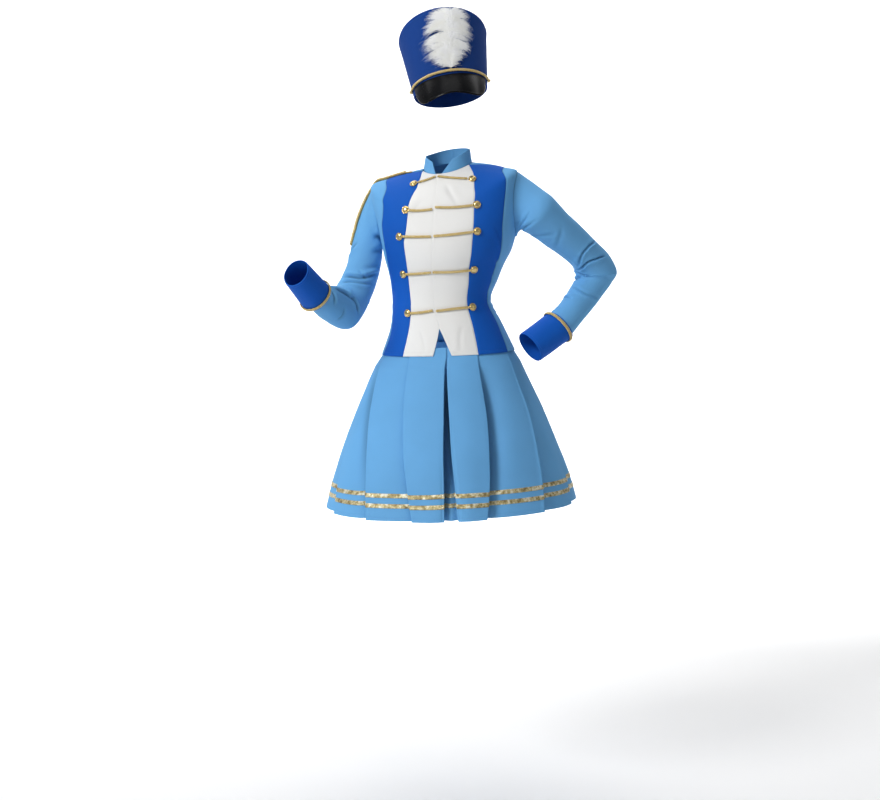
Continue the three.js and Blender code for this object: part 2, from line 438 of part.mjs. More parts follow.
const skirtGrid = []; for (let r = 0; r < SKIRT.length + 2; r++) skirtGrid.push(COLS.map((c) => skirtPoint(r, c)));
const skirtNormal = (r, c) => {
  const C = COLS.length, R = skirtGrid.length;
  const a = skirtGrid[Math.min(r + 1, R - 1)][c].clone().sub(skirtGrid[Math.max(r - 1, 0)][c]);
  const l = skirtGrid[r][c].clone().sub(skirtGrid[r][(c + C - 1) % C]).normalize(), m = skirtGrid[r][(c + 1) % C].clone().sub(skirtGrid[r][c]).normalize();
  const n1 = V().crossVectors(a, l).normalize(), n2 = V().crossVectors(a, m).normalize(), n = n1.add(n2).normalize();
  return n;
};
const skirtN = skirtGrid.map((row, r) => row.map((_, c) => skirtNormal(r, c)));
add("skirt", wall(skirtGrid, skirtGrid.map((row, r) => row.map((p, c) => p.clone().addScaledVector(skirtN[r][c], -CLOTH))), true), BLUE, 0.8, 0);
function ribbon(name, up) {
  const R = skirtGrid.length - 1, outer = [], inner = [];
  for (const d of [up + RIBBON_W / 2, up - RIBBON_W / 2]) {
    const a = [], b = [];
    COLS.forEach((_, c) => {
      const hem = skirtGrid[R][c], above = skirtGrid[R - 1][c], f = d / hem.distanceTo(above);
      const p = hem.clone().lerp(above, f), n = skirtN[R][c].clone().lerp(skirtN[R - 1][c], f).normalize();
      a.push(p.clone().addScaledVector(n, LIFT + RIBBON_T)); b.push(p.clone().addScaledVector(n, LIFT));
    });
    outer.push(a); inner.push(b);
  }
  add(name, wall(outer, inner, true), GOLD, 0.35, 0.8);
}
ribbon("hem_ribbon_upper", RIBBON_HIGH);
ribbon("hem_ribbon_lower", RIBBON_LOW);

// ---- hat -----------------------------------------------------------------------------------------------------------------------------
function hatPlace(x, y, z) {
  const a = rad(HAT.tilt), b = rad(HAT.roll);
  const Y = y * Math.cos(a) + z * Math.sin(a), Z = z * Math.cos(a) - y * Math.sin(a);
  return V(x * Math.cos(b) - Z * Math.sin(b) + HAT.cx, Y + HAT.cy, x * Math.sin(b) + Z * Math.cos(b) + HAT.cz);
}
function hatLocal(v, t, out = 0) {         // v 0 at the lower edge, 1 at the top edge; out moves the point off the wall
  const w = mix(HAT.baseW, HAT.topW, v) + out, d = mix(HAT.baseD, HAT.topD, v) + out, c = Math.cos(rad(t)), q = Math.sin(rad(t));
  const y = d * q + HAT.topCy * v;
  return V(w * c, y, v * (HAT.height - y * Math.tan(rad(HAT.topSlant))));
}
const hatPoint = (v, t, out = 0) => { const p = hatLocal(v, t, out); return hatPlace(p.x, p.y, p.z); };
const HAT_SEG = 28;
{
  const outer = [], inner = [];
  for (const v of [0, 0.5, 1]) {
    const a = [], b = [];
    for (let k = 0; k < HAT_SEG; k++) { const t = 360 * k / HAT_SEG; a.push(hatPoint(v, t)); b.push(hatPoint(v, t, -HAT_WALL)); }
    outer.push(a); inner.push(b);
  }
  add("hat_side", wall(outer, inner, true), HATBLUE, 0.8, 0);
}
{                                          // hat top, a low dome set just inside the top edge of the side
  const top = [], low = [], radii = [0.5, 1];
  const spot = (f, t, drop) => {
    const e = hatLocal(0.985, t, -HAT_WALL - 0.4), c = V(0, HAT.topCy, HAT.height * 0.985);
    const p = c.lerp(e, f); return hatPlace(p.x, p.y, p.z + HAT.dome * (1 - f * f) - drop);
  };
  const pos = [], idx = [], put = (p) => pos.push(p.x, p.y, p.z);
  put(spot(0, 0, 0)); put(spot(0, 0, HAT_WALL));
  for (const drop of [0, HAT_WALL]) for (const f of radii) for (let k = 0; k < HAT_SEG; k++) put(spot(f, 360 * k / HAT_SEG, drop));
  const at = (layer, r, k) => 2 + (layer * radii.length + r) * HAT_SEG + (k % HAT_SEG);
  for (let k = 0; k < HAT_SEG; k++) {
    idx.push(0, at(0, 0, k), at(0, 0, k + 1)); idx.push(1, at(1, 0, k + 1), at(1, 0, k));
    for (let r = 0; r < radii.length - 1; r++) {
      idx.push(at(0, r, k), at(0, r + 1, k), at(0, r + 1, k + 1), at(0, r, k), at(0, r + 1, k + 1), at(0, r, k + 1));
      idx.push(at(1, r, k), at(1, r + 1, k + 1), at(1, r + 1, k), at(1, r, k), at(1, r, k + 1), at(1, r + 1, k + 1));
    }
    const L = radii.length - 1;
    idx.push(at(0, L, k), at(1, L, k), at(1, L, k + 1), at(0, L, k), at(1, L, k + 1), at(0, L, k + 1));
  }
  const g = new THREE.BufferGeometry();
  g.setAttribute("position", new THREE.Float32BufferAttribute(pos, 3)); g.setIndex(idx);
  add("hat_top", g, HATBLUE, 0.8, 0);
}
{                                          // peak: starts just outside the lower edge of the side and reaches forward and down
  const outer = [], inner = [], angles = [...PEAK.slice(1).reverse().map((r) => [-r[0], r[1], r[2]]), ...PEAK];
  for (const u of [0, 0.5, 1]) {
    const a = [], b = [];
    for (const [w, forward, drop] of angles) {
      const t = -90 + w, e = hatLocal(VISOR.root, t, 0.7), dir = V(0.35 * Math.cos(rad(t)), 1.0 * Math.sin(rad(t)), 0).normalize();
      const p = e.clone().addScaledVector(dir, forward * u + 3 * u * (1 - u)); p.z -= drop * u;
      const size = Math.hypot(forward, drop), n = dir.clone().multiplyScalar(drop / size); n.z = forward / size;
      const q = p.clone().addScaledVector(n, VISOR.wall);
      a.push(hatPlace(q.x, q.y, q.z)); b.push(hatPlace(p.x, p.y, p.z));
    }
    outer.push(a); inner.push(b);
  }
  add("visor", wall(outer, inner, false), BLACK, 0.15, 0);
}
{                                          // twisted cord over the root of the peak
  const pts = [], nor = [];
  for (let k = 0; k <= 16; k++) {
    const w = mix(-1, 1, k / 16), v = mix(HATCORD.mid, HATCORD.ends, w * w), t = -90 + HATCORD.half * w;
    const p = hatPoint(v, t, HATCORD_R + LIFT + 0.3), q = hatPoint(v, t, 0);
    pts.push(p); nor.push(p.clone().sub(q).normalize());
  }
  add("hat_cord", strand(pts, nor, HATCORD_R, HATCORD_R, false, 6), GOLD, 0.4, 0.7);
}
{                                          // plume, the plain solid of its reach, standing against the front of the hat
  const outer = [], inner = [];
  for (let r = 0; r <= PLUME.rows; r++) {
    const f = r / PLUME.rows, v = mix(PLUME.low, PLUME.high, f), a = [], b = [];
    const half = PLUME.halfWidth * Math.pow(Math.sin(Math.PI * mix(0.03, 0.86, f)), 0.6), lean = mix(PLUME.lean[0], PLUME.lean[1], f);
    for (let c = 0; c <= PLUME.cols; c++) {
      const u = mix(-1, 1, c / PLUME.cols), t = -90 + lean + (half * u) / mix(HAT.baseW, HAT.topW, v) * 180 / Math.PI * 0.98;
      const th = 2 + PLUME.thick * Math.sqrt(Math.max(0, 1 - u * u)) * Math.sin(Math.PI * mix(0.15, 0.9, f));
      a.push(hatPoint(v, t, 1.6 + th)); b.push(hatPoint(v, t, 1.6));
    }
    outer.push(a); inner.push(b);
  }
  add("plume", wall(outer, inner, false), IVORY, 0.9, 0);
}

export default group;
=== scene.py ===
# Majorette costume: jacket bodice with pleated skirt, and the matching shako hat with its plume.
# The shapes repeat the part's own tables, in millimetres, and are turned into metres when a mesh is made.
import bpy, json, math
import numpy as np
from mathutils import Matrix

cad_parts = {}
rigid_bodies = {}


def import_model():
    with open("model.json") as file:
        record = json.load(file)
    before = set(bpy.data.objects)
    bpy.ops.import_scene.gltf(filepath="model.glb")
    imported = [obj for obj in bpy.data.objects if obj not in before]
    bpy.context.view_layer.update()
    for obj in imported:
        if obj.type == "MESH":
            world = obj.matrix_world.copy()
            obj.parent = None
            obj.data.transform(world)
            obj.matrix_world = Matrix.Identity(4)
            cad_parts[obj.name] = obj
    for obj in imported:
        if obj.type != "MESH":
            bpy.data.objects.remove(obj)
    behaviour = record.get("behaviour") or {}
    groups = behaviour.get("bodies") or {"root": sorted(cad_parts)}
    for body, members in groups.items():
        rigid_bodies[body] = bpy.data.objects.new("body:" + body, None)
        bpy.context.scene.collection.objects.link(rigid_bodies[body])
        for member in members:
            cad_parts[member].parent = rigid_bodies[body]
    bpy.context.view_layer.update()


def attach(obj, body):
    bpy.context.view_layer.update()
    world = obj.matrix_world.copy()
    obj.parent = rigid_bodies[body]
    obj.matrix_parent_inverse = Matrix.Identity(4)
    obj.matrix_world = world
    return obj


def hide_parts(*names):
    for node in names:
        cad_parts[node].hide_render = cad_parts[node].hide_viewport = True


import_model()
MM = 0.001

# ---- driving sizes, as in the part -------------------------------------------------------------
CLOTH, CUFF_WALL, HAT_WALL, SEAM, LIFT = 2.0, 2.2, 2.4, 0.18, 0.6
BUTTON_R, BUTTON_H = 9.5, 5.0
BRAID_HT, TRIM_HT, CORD_R, HATCORD_R = 1.8, 1.8, 4.6, 3.6
COLLAR_H = 30
RIBBON_W, RIBBON_LOW, RIBBON_HIGH = 10.6, 36, 61
# zSide, zFront, zBack, halfWidth, depthFront, depthBack, cx, cy, yaw, roll, power
TORSO = np.array([
    [12, -6, 20, 62, 62, 56, 2, 4, 14, 7.0, 2.0],
    [9, -19, 10, 82, 76, 72, 1, 4, 14, 6.5, 2.0],
    [2, -37, -6, 116, 93, 90, 0, 5, 14, 6.0, 2.05],
    [-7, -60, -32, 151, 106, 104, -4, 5, 14, 5.5, 2.1],
    [-16, -82, -60, 180, 114, 112, -7, 5, 14, 5.5, 2.15],
    [-36, -103, -88, 183, 119, 116, -5, 4, 14, 5.0, 2.2],
    [-68, -124, -116, 180, 123, 118, -2, 3, 14, 5.0, 2.25],
    [-106, -146, -143, 175, 128, 117, 2, 2, 14, 4.5, 2.25],
    [-146, -170, -170, 169, 131, 114, 4, 1, 14, 4.0, 2.2],
    [-200, -208, -203, 157, 126, 106, 3, 0, 13, 4.0, 2.15],
    [-236, -240, -238, 143, 113, 99, -2, -2, 12, 4.0, 2.1],
    [-270, -272, -270, 132, 102, 93, -6, -4, 10, 4.0, 2.1],
    [-322, -322, -322, 121, 95, 88, -13, -6, 8, 4.0, 2.1],
    [-378, -378, -378, 138, 106, 102, -2, -4, 9, 3.0, 2.1],
    [-443, -443, -443, 165, 122, 122, 3, 0, 9, 2.3, 2.1],
], float)
# plastronR, plastronL, centre, panelS, panelR, panelL
SEAMS = np.array([
    [-152, -22, -101, 2.8, -186, 6], [-131, -33, -96, 3.0, -155, -12], [-117, -45, -92, 3.4, -142, -20],
    [-112, -53.5, -90, 4, -136, -25], [-108.5, -58, -89.5, 5, -134.7, -27], [-108.5, -60, -89.7, 6, -137.7, -29],
    [-110, -61, -90.4, 7, -144.6, -30.4], [-113, -61.5, -91.4, 8, -148.2, -29.3], [-117, -61.2, -92.3, 9, -152.3, -25],
    [-119, -60.5, -93.4, 10, -158, -23], [-120.5, -58.8, -94, 11, -163, -22], [-122, -57, -94.2, 12, -166, -17],
    [-121, -54, -92.1, 12.7, -161, -16], [-123.5, -56, -90.2, 13.4, -158, -18], [-124.5, -58, -90.3, 14, -161.2, -21.8],
], float)
TAIL = dict(start=13.0, right=5.5, left=9.0)
ARMHOLE = dict(mid=6.3, half=2.15, centre=10, swing=24)
SHOULDER = [(0, -22), (2.8, 6), (4.15, 10)]
# xOut, zOut, xIn, zIn, y, depth
ARM = {
    "left": np.array([
        [252, -62, 178, -143, -40, 52], [290, -101, 209, -160, -22, 48], [330, -138, 255, -191, -2, 45], [369, -176, 289, -216, 18, 44],
        [404, -211, 310, -234, 36, 45], [421, -248, 318, -250, 46, 45], [407, -276, 316, -268, 44, 42], [386, -304, 305, -285, 36, 40],
        [360, -336, 289, -309, 20, 38], [333, -366, 270, -331, 2, 37], [297, -409, 247, -353, -19, 36]], float),
    "right": np.array([
        [-228, -148, -160, -194, 62, 47], [-238, -194, -162, -219, 50, 46], [-248, -233, -167, -251, 36, 45], [-260, -262, -176, -285, 22, 45],
        [-270, -278, -190, -321, 6, 45], [-271, -282, -211, -359, -14, 44], [-271, -281, -238, -384, -42, 43], [-274, -278, -268, -374, -72, 41],
        [-278, -276, -294, -358, -98, 39], [-281, -277, -315, -339, -120, 37], [-293, -281.5, -335, -315.5, -143, 31]], float),
}
CUFF = {
    "left": np.array([[305, -408, 249, -345, -16, 40], [265, -434.5, 213.5, -369.5, -35, 40.5], [225, -461, 178, -394, -54, 41]], float),
    "right": np.array([[-280, -276, -341, -328, -138, 38], [-304.5, -246.5, -360, -297, -173, 37], [-329, -217, -379, -266, -208, 36]], float),
}
# z, halfWidth, depthFront, depthBack, cx, cy, yaw, roll, pleat
SKIRT = np.array([
    [-470, 177, 136, 136, 2, 0, 9, 2.3, 3.0], [-510, 194, 156, 154, 2, 0, 9, 2.3, 4.5], [-589, 229, 199, 193, 4, 0, 9, 2.3, 6.5],
    [-665, 256, 240, 228, 6, 0, 9, 2.3, 8.0], [-738, 280, 270, 256, 9, 0, 9, 2.3, 9.0], [-814, 301, 298, 282, 11, 0, 9, 2.3, 10.0]], float)
# angle at the waist, angle at the hem, side on top (+1 the greater angle), deep (extra depth under the fold in mm at the hem), reach of it in mm
PLEATS = [
    (-155, -122, 1, 12, 26), (-117, -98.5, 1, 3, 10), (-86, -84.6, -1, 20, 22), (-83.9, -78.3, 1, 13, 14), (-58.8, -66, -1, 22, 34), (-22, -36, -1, 3, 10),
    (6, -12, -1, 12, 22), (26, 14, -1, 7, 16), (46, 40, -1, 14, 26), (66, 65, -1, 5, 14), (88, 90, -1, 12, 24),
    (110, 114, 1, 15, 26), (132, 138, 1, 6, 14), (152, 162, 1, 12, 24), (171, 186, 1, 5, 12), (188, 212, 1, 10, 20),
]
FROGS = [
    (1.9, -124.8, 0.64, -99.8, 0.62, -95.6, 2.28, -50.1), (4.55, -110.1, 4.45, -90.2, 4.25, -88.6, 5.1, -57.9),
    (7.5, -120.2, 7.44, -92.5, 7.42, -90.9, 7.54, -57.8), (10.11, -126.5, 10.04, -94.7, 10.03, -93.2, 10.08, -53.4),
    (12.3, -125.4, 12.23, -93.9, 12.26, -90.9, 12.2, -48),
]
CORD_TORSO = [(1.6, -175), (2.05, -178), (2.65, -180), (3.3, -181), (3.9, -184)]
CORD_SLEEVE = [(0.25, 12), (0.5, 14), (0.75, 14), (1.0, 12), (1.35, 9), (1.8, 8)]
HAT = dict(cx=9, cy=-2, cz=186, tilt=16, roll=8.5, height=144, topSlant=16, baseW=90, baseD=103, topW=108, topD=116, topCy=3, dome=7)
VISOR = dict(root=0.055, wall=2.2)
PEAK = np.array([[0, 26, 54], [13, 25.6, 56.5], [26, 24, 60.5], [38, 21, 62], [48, 15.5, 55], [57, 9, 36], [62, 5, 20], [66, 2, 5]], float)
HATCORD = dict(half=83, mid=0.108, ends=0.082)
PLUME = dict(low=0.17, high=0.985, halfWidth=62, thick=24, lean=(3, 12.5))

# ---- small helpers --------------------------------------------------------------------------------
rad = np.radians


def cr(col, s):
    """smooth value of a table column at real row numbers"""
    col = np.asarray(col, float); n = len(col); s = np.clip(np.asarray(s, float), 0, n - 1)
    i = np.minimum(np.floor(s).astype(int), n - 2); t = s - i
    p1, p2 = col[i], col[i + 1]
    p0 = np.where(i > 0, col[np.maximum(i - 1, 0)], 2 * p1 - p2)
    p3 = np.where(i < n - 2, col[np.minimum(i + 2, n - 1)], 2 * p2 - p1)
    return 0.5 * (2 * p1 + (p2 - p0) * t + (2 * p0 - 5 * p1 + 4 * p2 - p3) * t * t + (3 * p1 - p0 - 3 * p2 + p3) * t ** 3)


def mix(a, b, t):
    return a + (b - a) * t


def unit(v):
    return v / np.maximum(np.linalg.norm(v, axis=-1, keepdims=True), 1e-9)


def vec(x, y, z):
    return np.stack(np.broadcast_arrays(np.asarray(x, float), np.asarray(y, float), np.asarray(z, float)), -1)


def bump(x):
    return np.exp(-x * x)


def smooth(x):
    x = np.clip(x, 0, 1); return x * x * (3 - 2 * x)


def ease(n, a=0.8):
    """n numbers from 0 to 1, closer together at both ends"""
    x = np.linspace(0, 1, n); return x - a * np.sin(2 * np.pi * x) / (2 * np.pi)


def ripple(x, y, seed, size, terms=7):
    """soft uneven waves of about the given size, between -1 and 1"""
    g = np.random.default_rng(seed); out = 0
    for _ in range(terms):
        a = g.uniform(0, 2 * np.pi); k = 2 * np.pi / (size * g.uniform(0.7, 1.6))
        out = out + np.sin(k * (x * np.cos(a) + y * np.sin(a)) + g.uniform(0, 2 * np.pi))
    return out / terms * 1.6


def ripple3(P, seed, size, terms=8):
    g = np.random.default_rng(seed); out = 0
    for _ in range(terms):
        d = g.normal(size=3); d /= np.linalg.norm(d); k = 2 * np.pi / (size * g.uniform(0.7, 1.6))
        out = out + np.sin(k * (P @ d) + g.uniform(0, 2 * np.pi))
    return out / terms * 1.6


def ring_point(x, y, z, cx, cy, yaw, roll):
    a, b = -rad(yaw), rad(roll)
    X, Y = x * np.cos(a) - y * np.sin(a), x * np.sin(a) + y * np.cos(a)
    return vec(X * np.cos(b) + cx, Y + cy, z + X * np.sin(b))


def torso(s, t):
    s, t = np.broadcast_arrays(np.asarray(s, float), np.asarray(t, float))
    zs, zf, zb, hw, df, db, cx, cy, yaw, roll, pw = (cr(TORSO[:, k], s) for k in range(11))
    c, q = np.cos(rad(t)), np.sin(rad(t)); e = 2 / pw; front = q < 0
    z = zs + (np.where(front, zf, zb) - zs) * np.abs(q) ** 1.6
    return ring_point(hw * np.sign(c) * np.abs(c) ** e, np.where(front, df, db) * np.sign(q) * np.abs(q) ** e, z, cx, cy, yaw, roll)


def torso_axes(s, t):
    h, k = 0.04, 0.8
    down = unit(torso(np.minimum(14, np.asarray(s, float) + h), t) - torso(np.maximum(0, np.asarray(s, float) - h), t))
    rnd = unit(torso(s, np.asarray(t, float) + k) - torso(s, np.asarray(t, float) - k))
    return unit(np.cross(down, rnd)), down, rnd


# ---- soft folds: a trough with a ridge beside it, along a line of surface points --------------------------
def fold_field(P, N, folds):
    """height of the folds at points P, in mm. A fold is (line (k,3), width, depth, ridge, side, taper at each end)"""
    out = np.zeros(P.shape[:-1])
    for line, width, depth, ridge, side, tapers in folds:
        line = np.asarray(line, float)
        lo, hi = line.min(0) - 4 * width, line.max(0) + 4 * width
        near = np.all((P > lo) & (P < hi), axis=-1)
        if not near.any():
            continue
        Q, M = P[near], N[near]
        seg = np.diff(line, axis=0); ln = np.linalg.norm(seg, axis=1); cum = np.concatenate([[0], np.cumsum(ln)])
        best = np.full(len(Q), 1e9); tau = np.zeros(len(Q)); sgn = np.zeros(len(Q))
        for i in range(len(seg)):
            d = Q - line[i]; u = np.clip((d @ seg[i]) / ln[i] ** 2, 0, 1); r = d - u[:, None] * seg[i]
            r = r - (r * M).sum(1, keepdims=True) * M * 0.85
            dist = np.linalg.norm(r, axis=1); use = dist < best
            best = np.where(use, dist, best); tau = np.where(use, (cum[i] + u * ln[i]) / cum[-1], tau)
            across = np.cross(M, seg[i] / ln[i]); sgn = np.where(use, np.sign((r * across).sum(1)), sgn)
        x = best * sgn * side / width
        a, b = tapers
        fade = smooth(tau / max(a, 1e-3)) * smooth((1 - tau) / max(b, 1e-3))
        fade = np.where(a <= 0, smooth((1 - tau) / max(b, 1e-3)), fade) if a <= 0 else fade
        fade = smooth(tau / max(a, 1e-3)) if b <= 0 else fade
        h = -depth * bump(x / 0.75) + ridge * bump((x - 1.35) / 0.95) + 0.35 * ridge * bump((x + 1.6) / 0.9)
        out[near] += h * fade
    return out


def poly(fn, pts, n=14):
    """surface points along a smooth line through (a, b) pairs"""
    pts = np.asarray(pts, float); r = np.linspace(0, len(pts) - 1, n)
    if len(pts) == 2:
        return fn(mix(pts[0, 0], pts[1, 0], r), mix(pts[0, 1], pts[1, 1], r))
    return fn(cr(pts[:, 0], r), cr(pts[:, 1], r))


# ---- meshes ------------------------------------------------------------------------------------------------
def new_mesh(name, verts, faces, mat, uv=None, sharp=55, flip=None, uv_scale=MM):
    V = np.asarray(verts, float) * MM
    faces = [np.asarray(f) for f in faces if len(f)]
    if flip is None:
        vol = 0.0
        for f in faces:
            for k in range(1, f.shape[1] - 1):
                vol += np.einsum("ij,ij->", V[f[:, 0]], np.cross(V[f[:, k]], V[f[:, k + 1]]))
        flip = vol < 0
    if flip:
        faces = [f[:, ::-1] for f in faces]
    allf = [row for f in faces for row in f.tolist()]
    me = bpy.data.meshes.new(name)
    me.from_pydata(V.tolist(), [], allf)
    if uv is not None:
        layer = me.uv_layers.new(name="cloth")
        idx = np.concatenate([f.ravel() for f in faces])
        layer.data.foreach_set("uv", (np.asarray(uv, float)[idx] * uv_scale).astype(np.float32).ravel())
    me.polygons.foreach_set("use_smooth", np.ones(len(me.polygons), bool))
    me.set_sharp_from_angle(angle=math.radians(sharp))
    me.materials.append(mat)
    me.update()
    ob = bpy.data.objects.new(name, me)
    bpy.context.scene.collection.objects.link(ob)
    return ob


def grid_normals(P, closed):
    a = np.gradient(P, axis=0)
    if closed:
        f = unit(np.roll(P, -1, 1) - P); b = f + np.roll(f, 1, 1)
    else:
        f = unit(np.diff(P, axis=1)); b = np.concatenate([f[:, :1], f[:, 1:] + f[:, :-1], f[:, -1:]], 1)
    return unit(np.cross(a, b))


def arc_uv(P, closed):
    """distance along the rows and columns of a grid, in mm"""
    du = np.linalg.norm(np.diff(P, axis=1), axis=-1); U = np.concatenate([np.zeros((P.shape[0], 1)), np.cumsum(du, 1)], 1)
    dv = np.linalg.norm(np.diff(P, axis=0), axis=-1); W = np.concatenate([np.zeros((1, P.shape[1])), np.cumsum(dv, 0)], 0)
    return U, W


def shell(name, P, N, thick, closed, mat, rim=0.35, uvs=None, sharp=55, skip=1):
    """a thin closed wall: outer grid P, inner grid a wall's thickness inside, rounded rims"""
    R, C = P.shape[:2]
    I = P - N * (thick if np.isscalar(thick) else np.asarray(thick)[..., None])
    U, W = arc_uv(P, closed) if uvs is None else uvs
    uv = np.stack([U, W], -1).reshape(-1, 2)
    keep = np.unique(np.concatenate([np.arange(0, R, skip if closed else 1), [R - 1]])); RI = len(keep)      # rows of the inner side
    inn = lambda e: R * C + np.searchsorted(keep, e // C) * C + e % C
    verts = [P.reshape(-1, 3), I[keep].reshape(-1, 3)]; uvl = [uv, np.stack([U, W], -1)[keep].reshape(-1, 2)]
    r, c = np.meshgrid(np.arange(R - 1), np.arange(C if closed else C - 1), indexing="ij")
    c1 = (c + 1) % C
    o = lambda a, b: a * C + b
    faces = [np.stack([o(r, c), o(r + 1, c), o(r + 1, c1), o(r, c1)], -1).reshape(-1, 4),
             R * C + np.stack([o(r, c), o(r, c1), o(r + 1, c1), o(r + 1, c)], -1)[:RI - 1].reshape(-1, 4)]
    base = (R + RI) * C

    def rimrow(edge, inner_next, loop):
        nonlocal base
        e = np.asarray(edge); out = unit(P.reshape(-1, 3)[e] - P.reshape(-1, 3)[inner_next])
        mid = (P.reshape(-1, 3)[e] + I.reshape(-1, 3)[e]) / 2 + out * rim
        verts.append(mid); uvl.append(uv[e]); m = base + np.arange(len(e)); base += len(e)
        n = len(e) if loop else len(e) - 1
        i = np.arange(n); j = (i + 1) % len(e)
        return [np.stack([e[i], e[j], m[j], m[i]], -1), np.stack([m[i], m[j], inn(e[j]), inn(e[i])], -1)], m

    cc = np.arange(C); rr = np.arange(R)
    ft, mt = rimrow(o(0, cc), o(1, cc), closed)
    fb, mb = rimrow(o(R - 1, cc)[::-1], o(R - 2, cc)[::-1], closed)
    faces += ft + fb
    if not closed:
        fl, ml = rimrow(o(rr, 0)[::-1], o(rr, 1)[::-1], False)
        fr, mr = rimrow(o(rr, C - 1), o(rr, C - 2), False)
        faces += fl + fr
        # close the four corners between the rim rows
        for (mA, mB, corner) in ((ml[-1], mt[0], o(0, 0)), (mt[-1], mr[0], o(0, C - 1)), (mr[-1], mb[0], o(R - 1, C - 1)), (mb[-1], ml[0], o(R - 1, 0))):
            faces.append(np.array([[corner, mB, mA]])); faces.append(np.array([[inn(corner), mA, mB]]))
    V = np.concatenate(verts)
    ob = new_mesh(name, V, faces, mat, uv=np.concatenate(uvl), sharp=sharp)
    return ob


def paint_shade(ob, depth):
    """painted shade for each point of the outer side, 0 to 1, set in creases, along seams and in pleat recesses; the
    cloth darkens its colour by it
    """
    v = np.zeros(len(ob.data.vertices), np.float32); v[:depth.size] = np.clip(depth, 0, 1).ravel()
    ob.data.attributes.new("painted_shade", "FLOAT", "POINT").data.foreach_set("value", v)

# ---- materials ---------------------------------------------------------------------------------------------------
def srgb(h):
    f = lambda c: c / 12.92 if c <= 0.04045 else ((c + 0.055) / 1.055) ** 2.4
    return tuple(f(((h >> k) & 255) / 255) for k in (16, 8, 0)) + (1.0,)


def tint(c, k):
    return tuple(min(1.0, x * k) for x in c[:3]) + (1.0,)


class Mat:
    def __init__(self, name):
        self.m = bpy.data.materials.new(name); self.m.use_nodes = True
        self.t = self.m.node_tree; self.n = self.t.nodes; self.n.clear()
        self.out = self.n.new("ShaderNodeOutputMaterial"); self.b = self.n.new("ShaderNodeBsdfPrincipled")
        self.t.links.new(self.b.outputs[0], self.out.inputs[0])
        self.uv = self.n.new("ShaderNodeUVMap"); self.uv.uv_map = "cloth"
        self.co = self.n.new("ShaderNodeTexCoord"); self.h = None

    def link(self, a, b):
        self.t.links.new(a, b)

    def set(self, **kw):
        for k, v in kw.items():
            self.b.inputs[k.replace("_", " ")].default_value = v
        return self

    def noise(self, scale, detail=3.0, rough=0.5, vector=None, stretch=None):
        n = self.n.new("ShaderNodeTexNoise"); n.inputs["Scale"].default_value = scale
        n.inputs["Detail"].default_value = detail; n.inputs["Roughness"].default_value = rough
        src = vector or self.co.outputs["Object"]
        if stretch:
            mp = self.n.new("ShaderNodeMapping"); mp.inputs["Scale"].default_value = stretch
            self.link(src, mp.inputs["Vector"]); src = mp.outputs[0]
        self.link(src, n.inputs["Vector"])
        return n.outputs["Fac"]

    def wave(self, scale, angle=0.0, distortion=0.0, profile="SIN", kind="X"):
        mp = self.n.new("ShaderNodeMapping"); mp.inputs["Rotation"].default_value = (0, 0, angle)
        self.link(self.uv.outputs[0], mp.inputs["Vector"])
        w = self.n.new("ShaderNodeTexWave"); w.wave_profile = profile; w.bands_direction = kind
        w.inputs["Scale"].default_value = scale; w.inputs["Distortion"].default_value = distortion
        self.link(mp.outputs[0], w.inputs["Vector"])
        return w.outputs["Fac"]

    def ramp(self, fac, stops):
        r = self.n.new("ShaderNodeValToRGB"); e = r.color_ramp.elements
        while len(e) < len(stops):
            e.new(0.5)
        for i, (p, c) in enumerate(stops):
            e[i].position = p; e[i].color = c
        self.link(fac, r.inputs[0])
        return r.outputs[0]

    def span(self, fac, lo, hi, a=0.0, b=1.0):
        m = self.n.new("ShaderNodeMapRange"); m.inputs["From Min"].default_value = a; m.inputs["From Max"].default_value = b
        m.inputs["To Min"].default_value = lo; m.inputs["To Max"].default_value = hi
        self.link(fac, m.inputs["Value"])
        return m.outputs[0]

    def blend(self, fac, a, b, kind="MIX"):
        m = self.n.new("ShaderNodeMix"); m.data_type = "RGBA"; m.blend_type = kind
        for sock, v in ((m.inputs[0], fac), (m.inputs[6], a), (m.inputs[7], b)):
            if hasattr(v, "is_output"):
                self.link(v, sock)
            else:
                sock.default_value = v
        return m.outputs[2]

    def relief(self, height, distance, strength=1.0):
        k = self.n.new("ShaderNodeBump"); k.inputs["Distance"].default_value = distance; k.inputs["Strength"].default_value = strength
        self.link(height, k.inputs["Height"])
        if self.h:
            self.link(self.h, k.inputs["Normal"])
        self.h = k.outputs[0]
        return self

    def done(self):
        if self.h:
            self.link(self.h, self.b.inputs["Normal"])
        return self.m


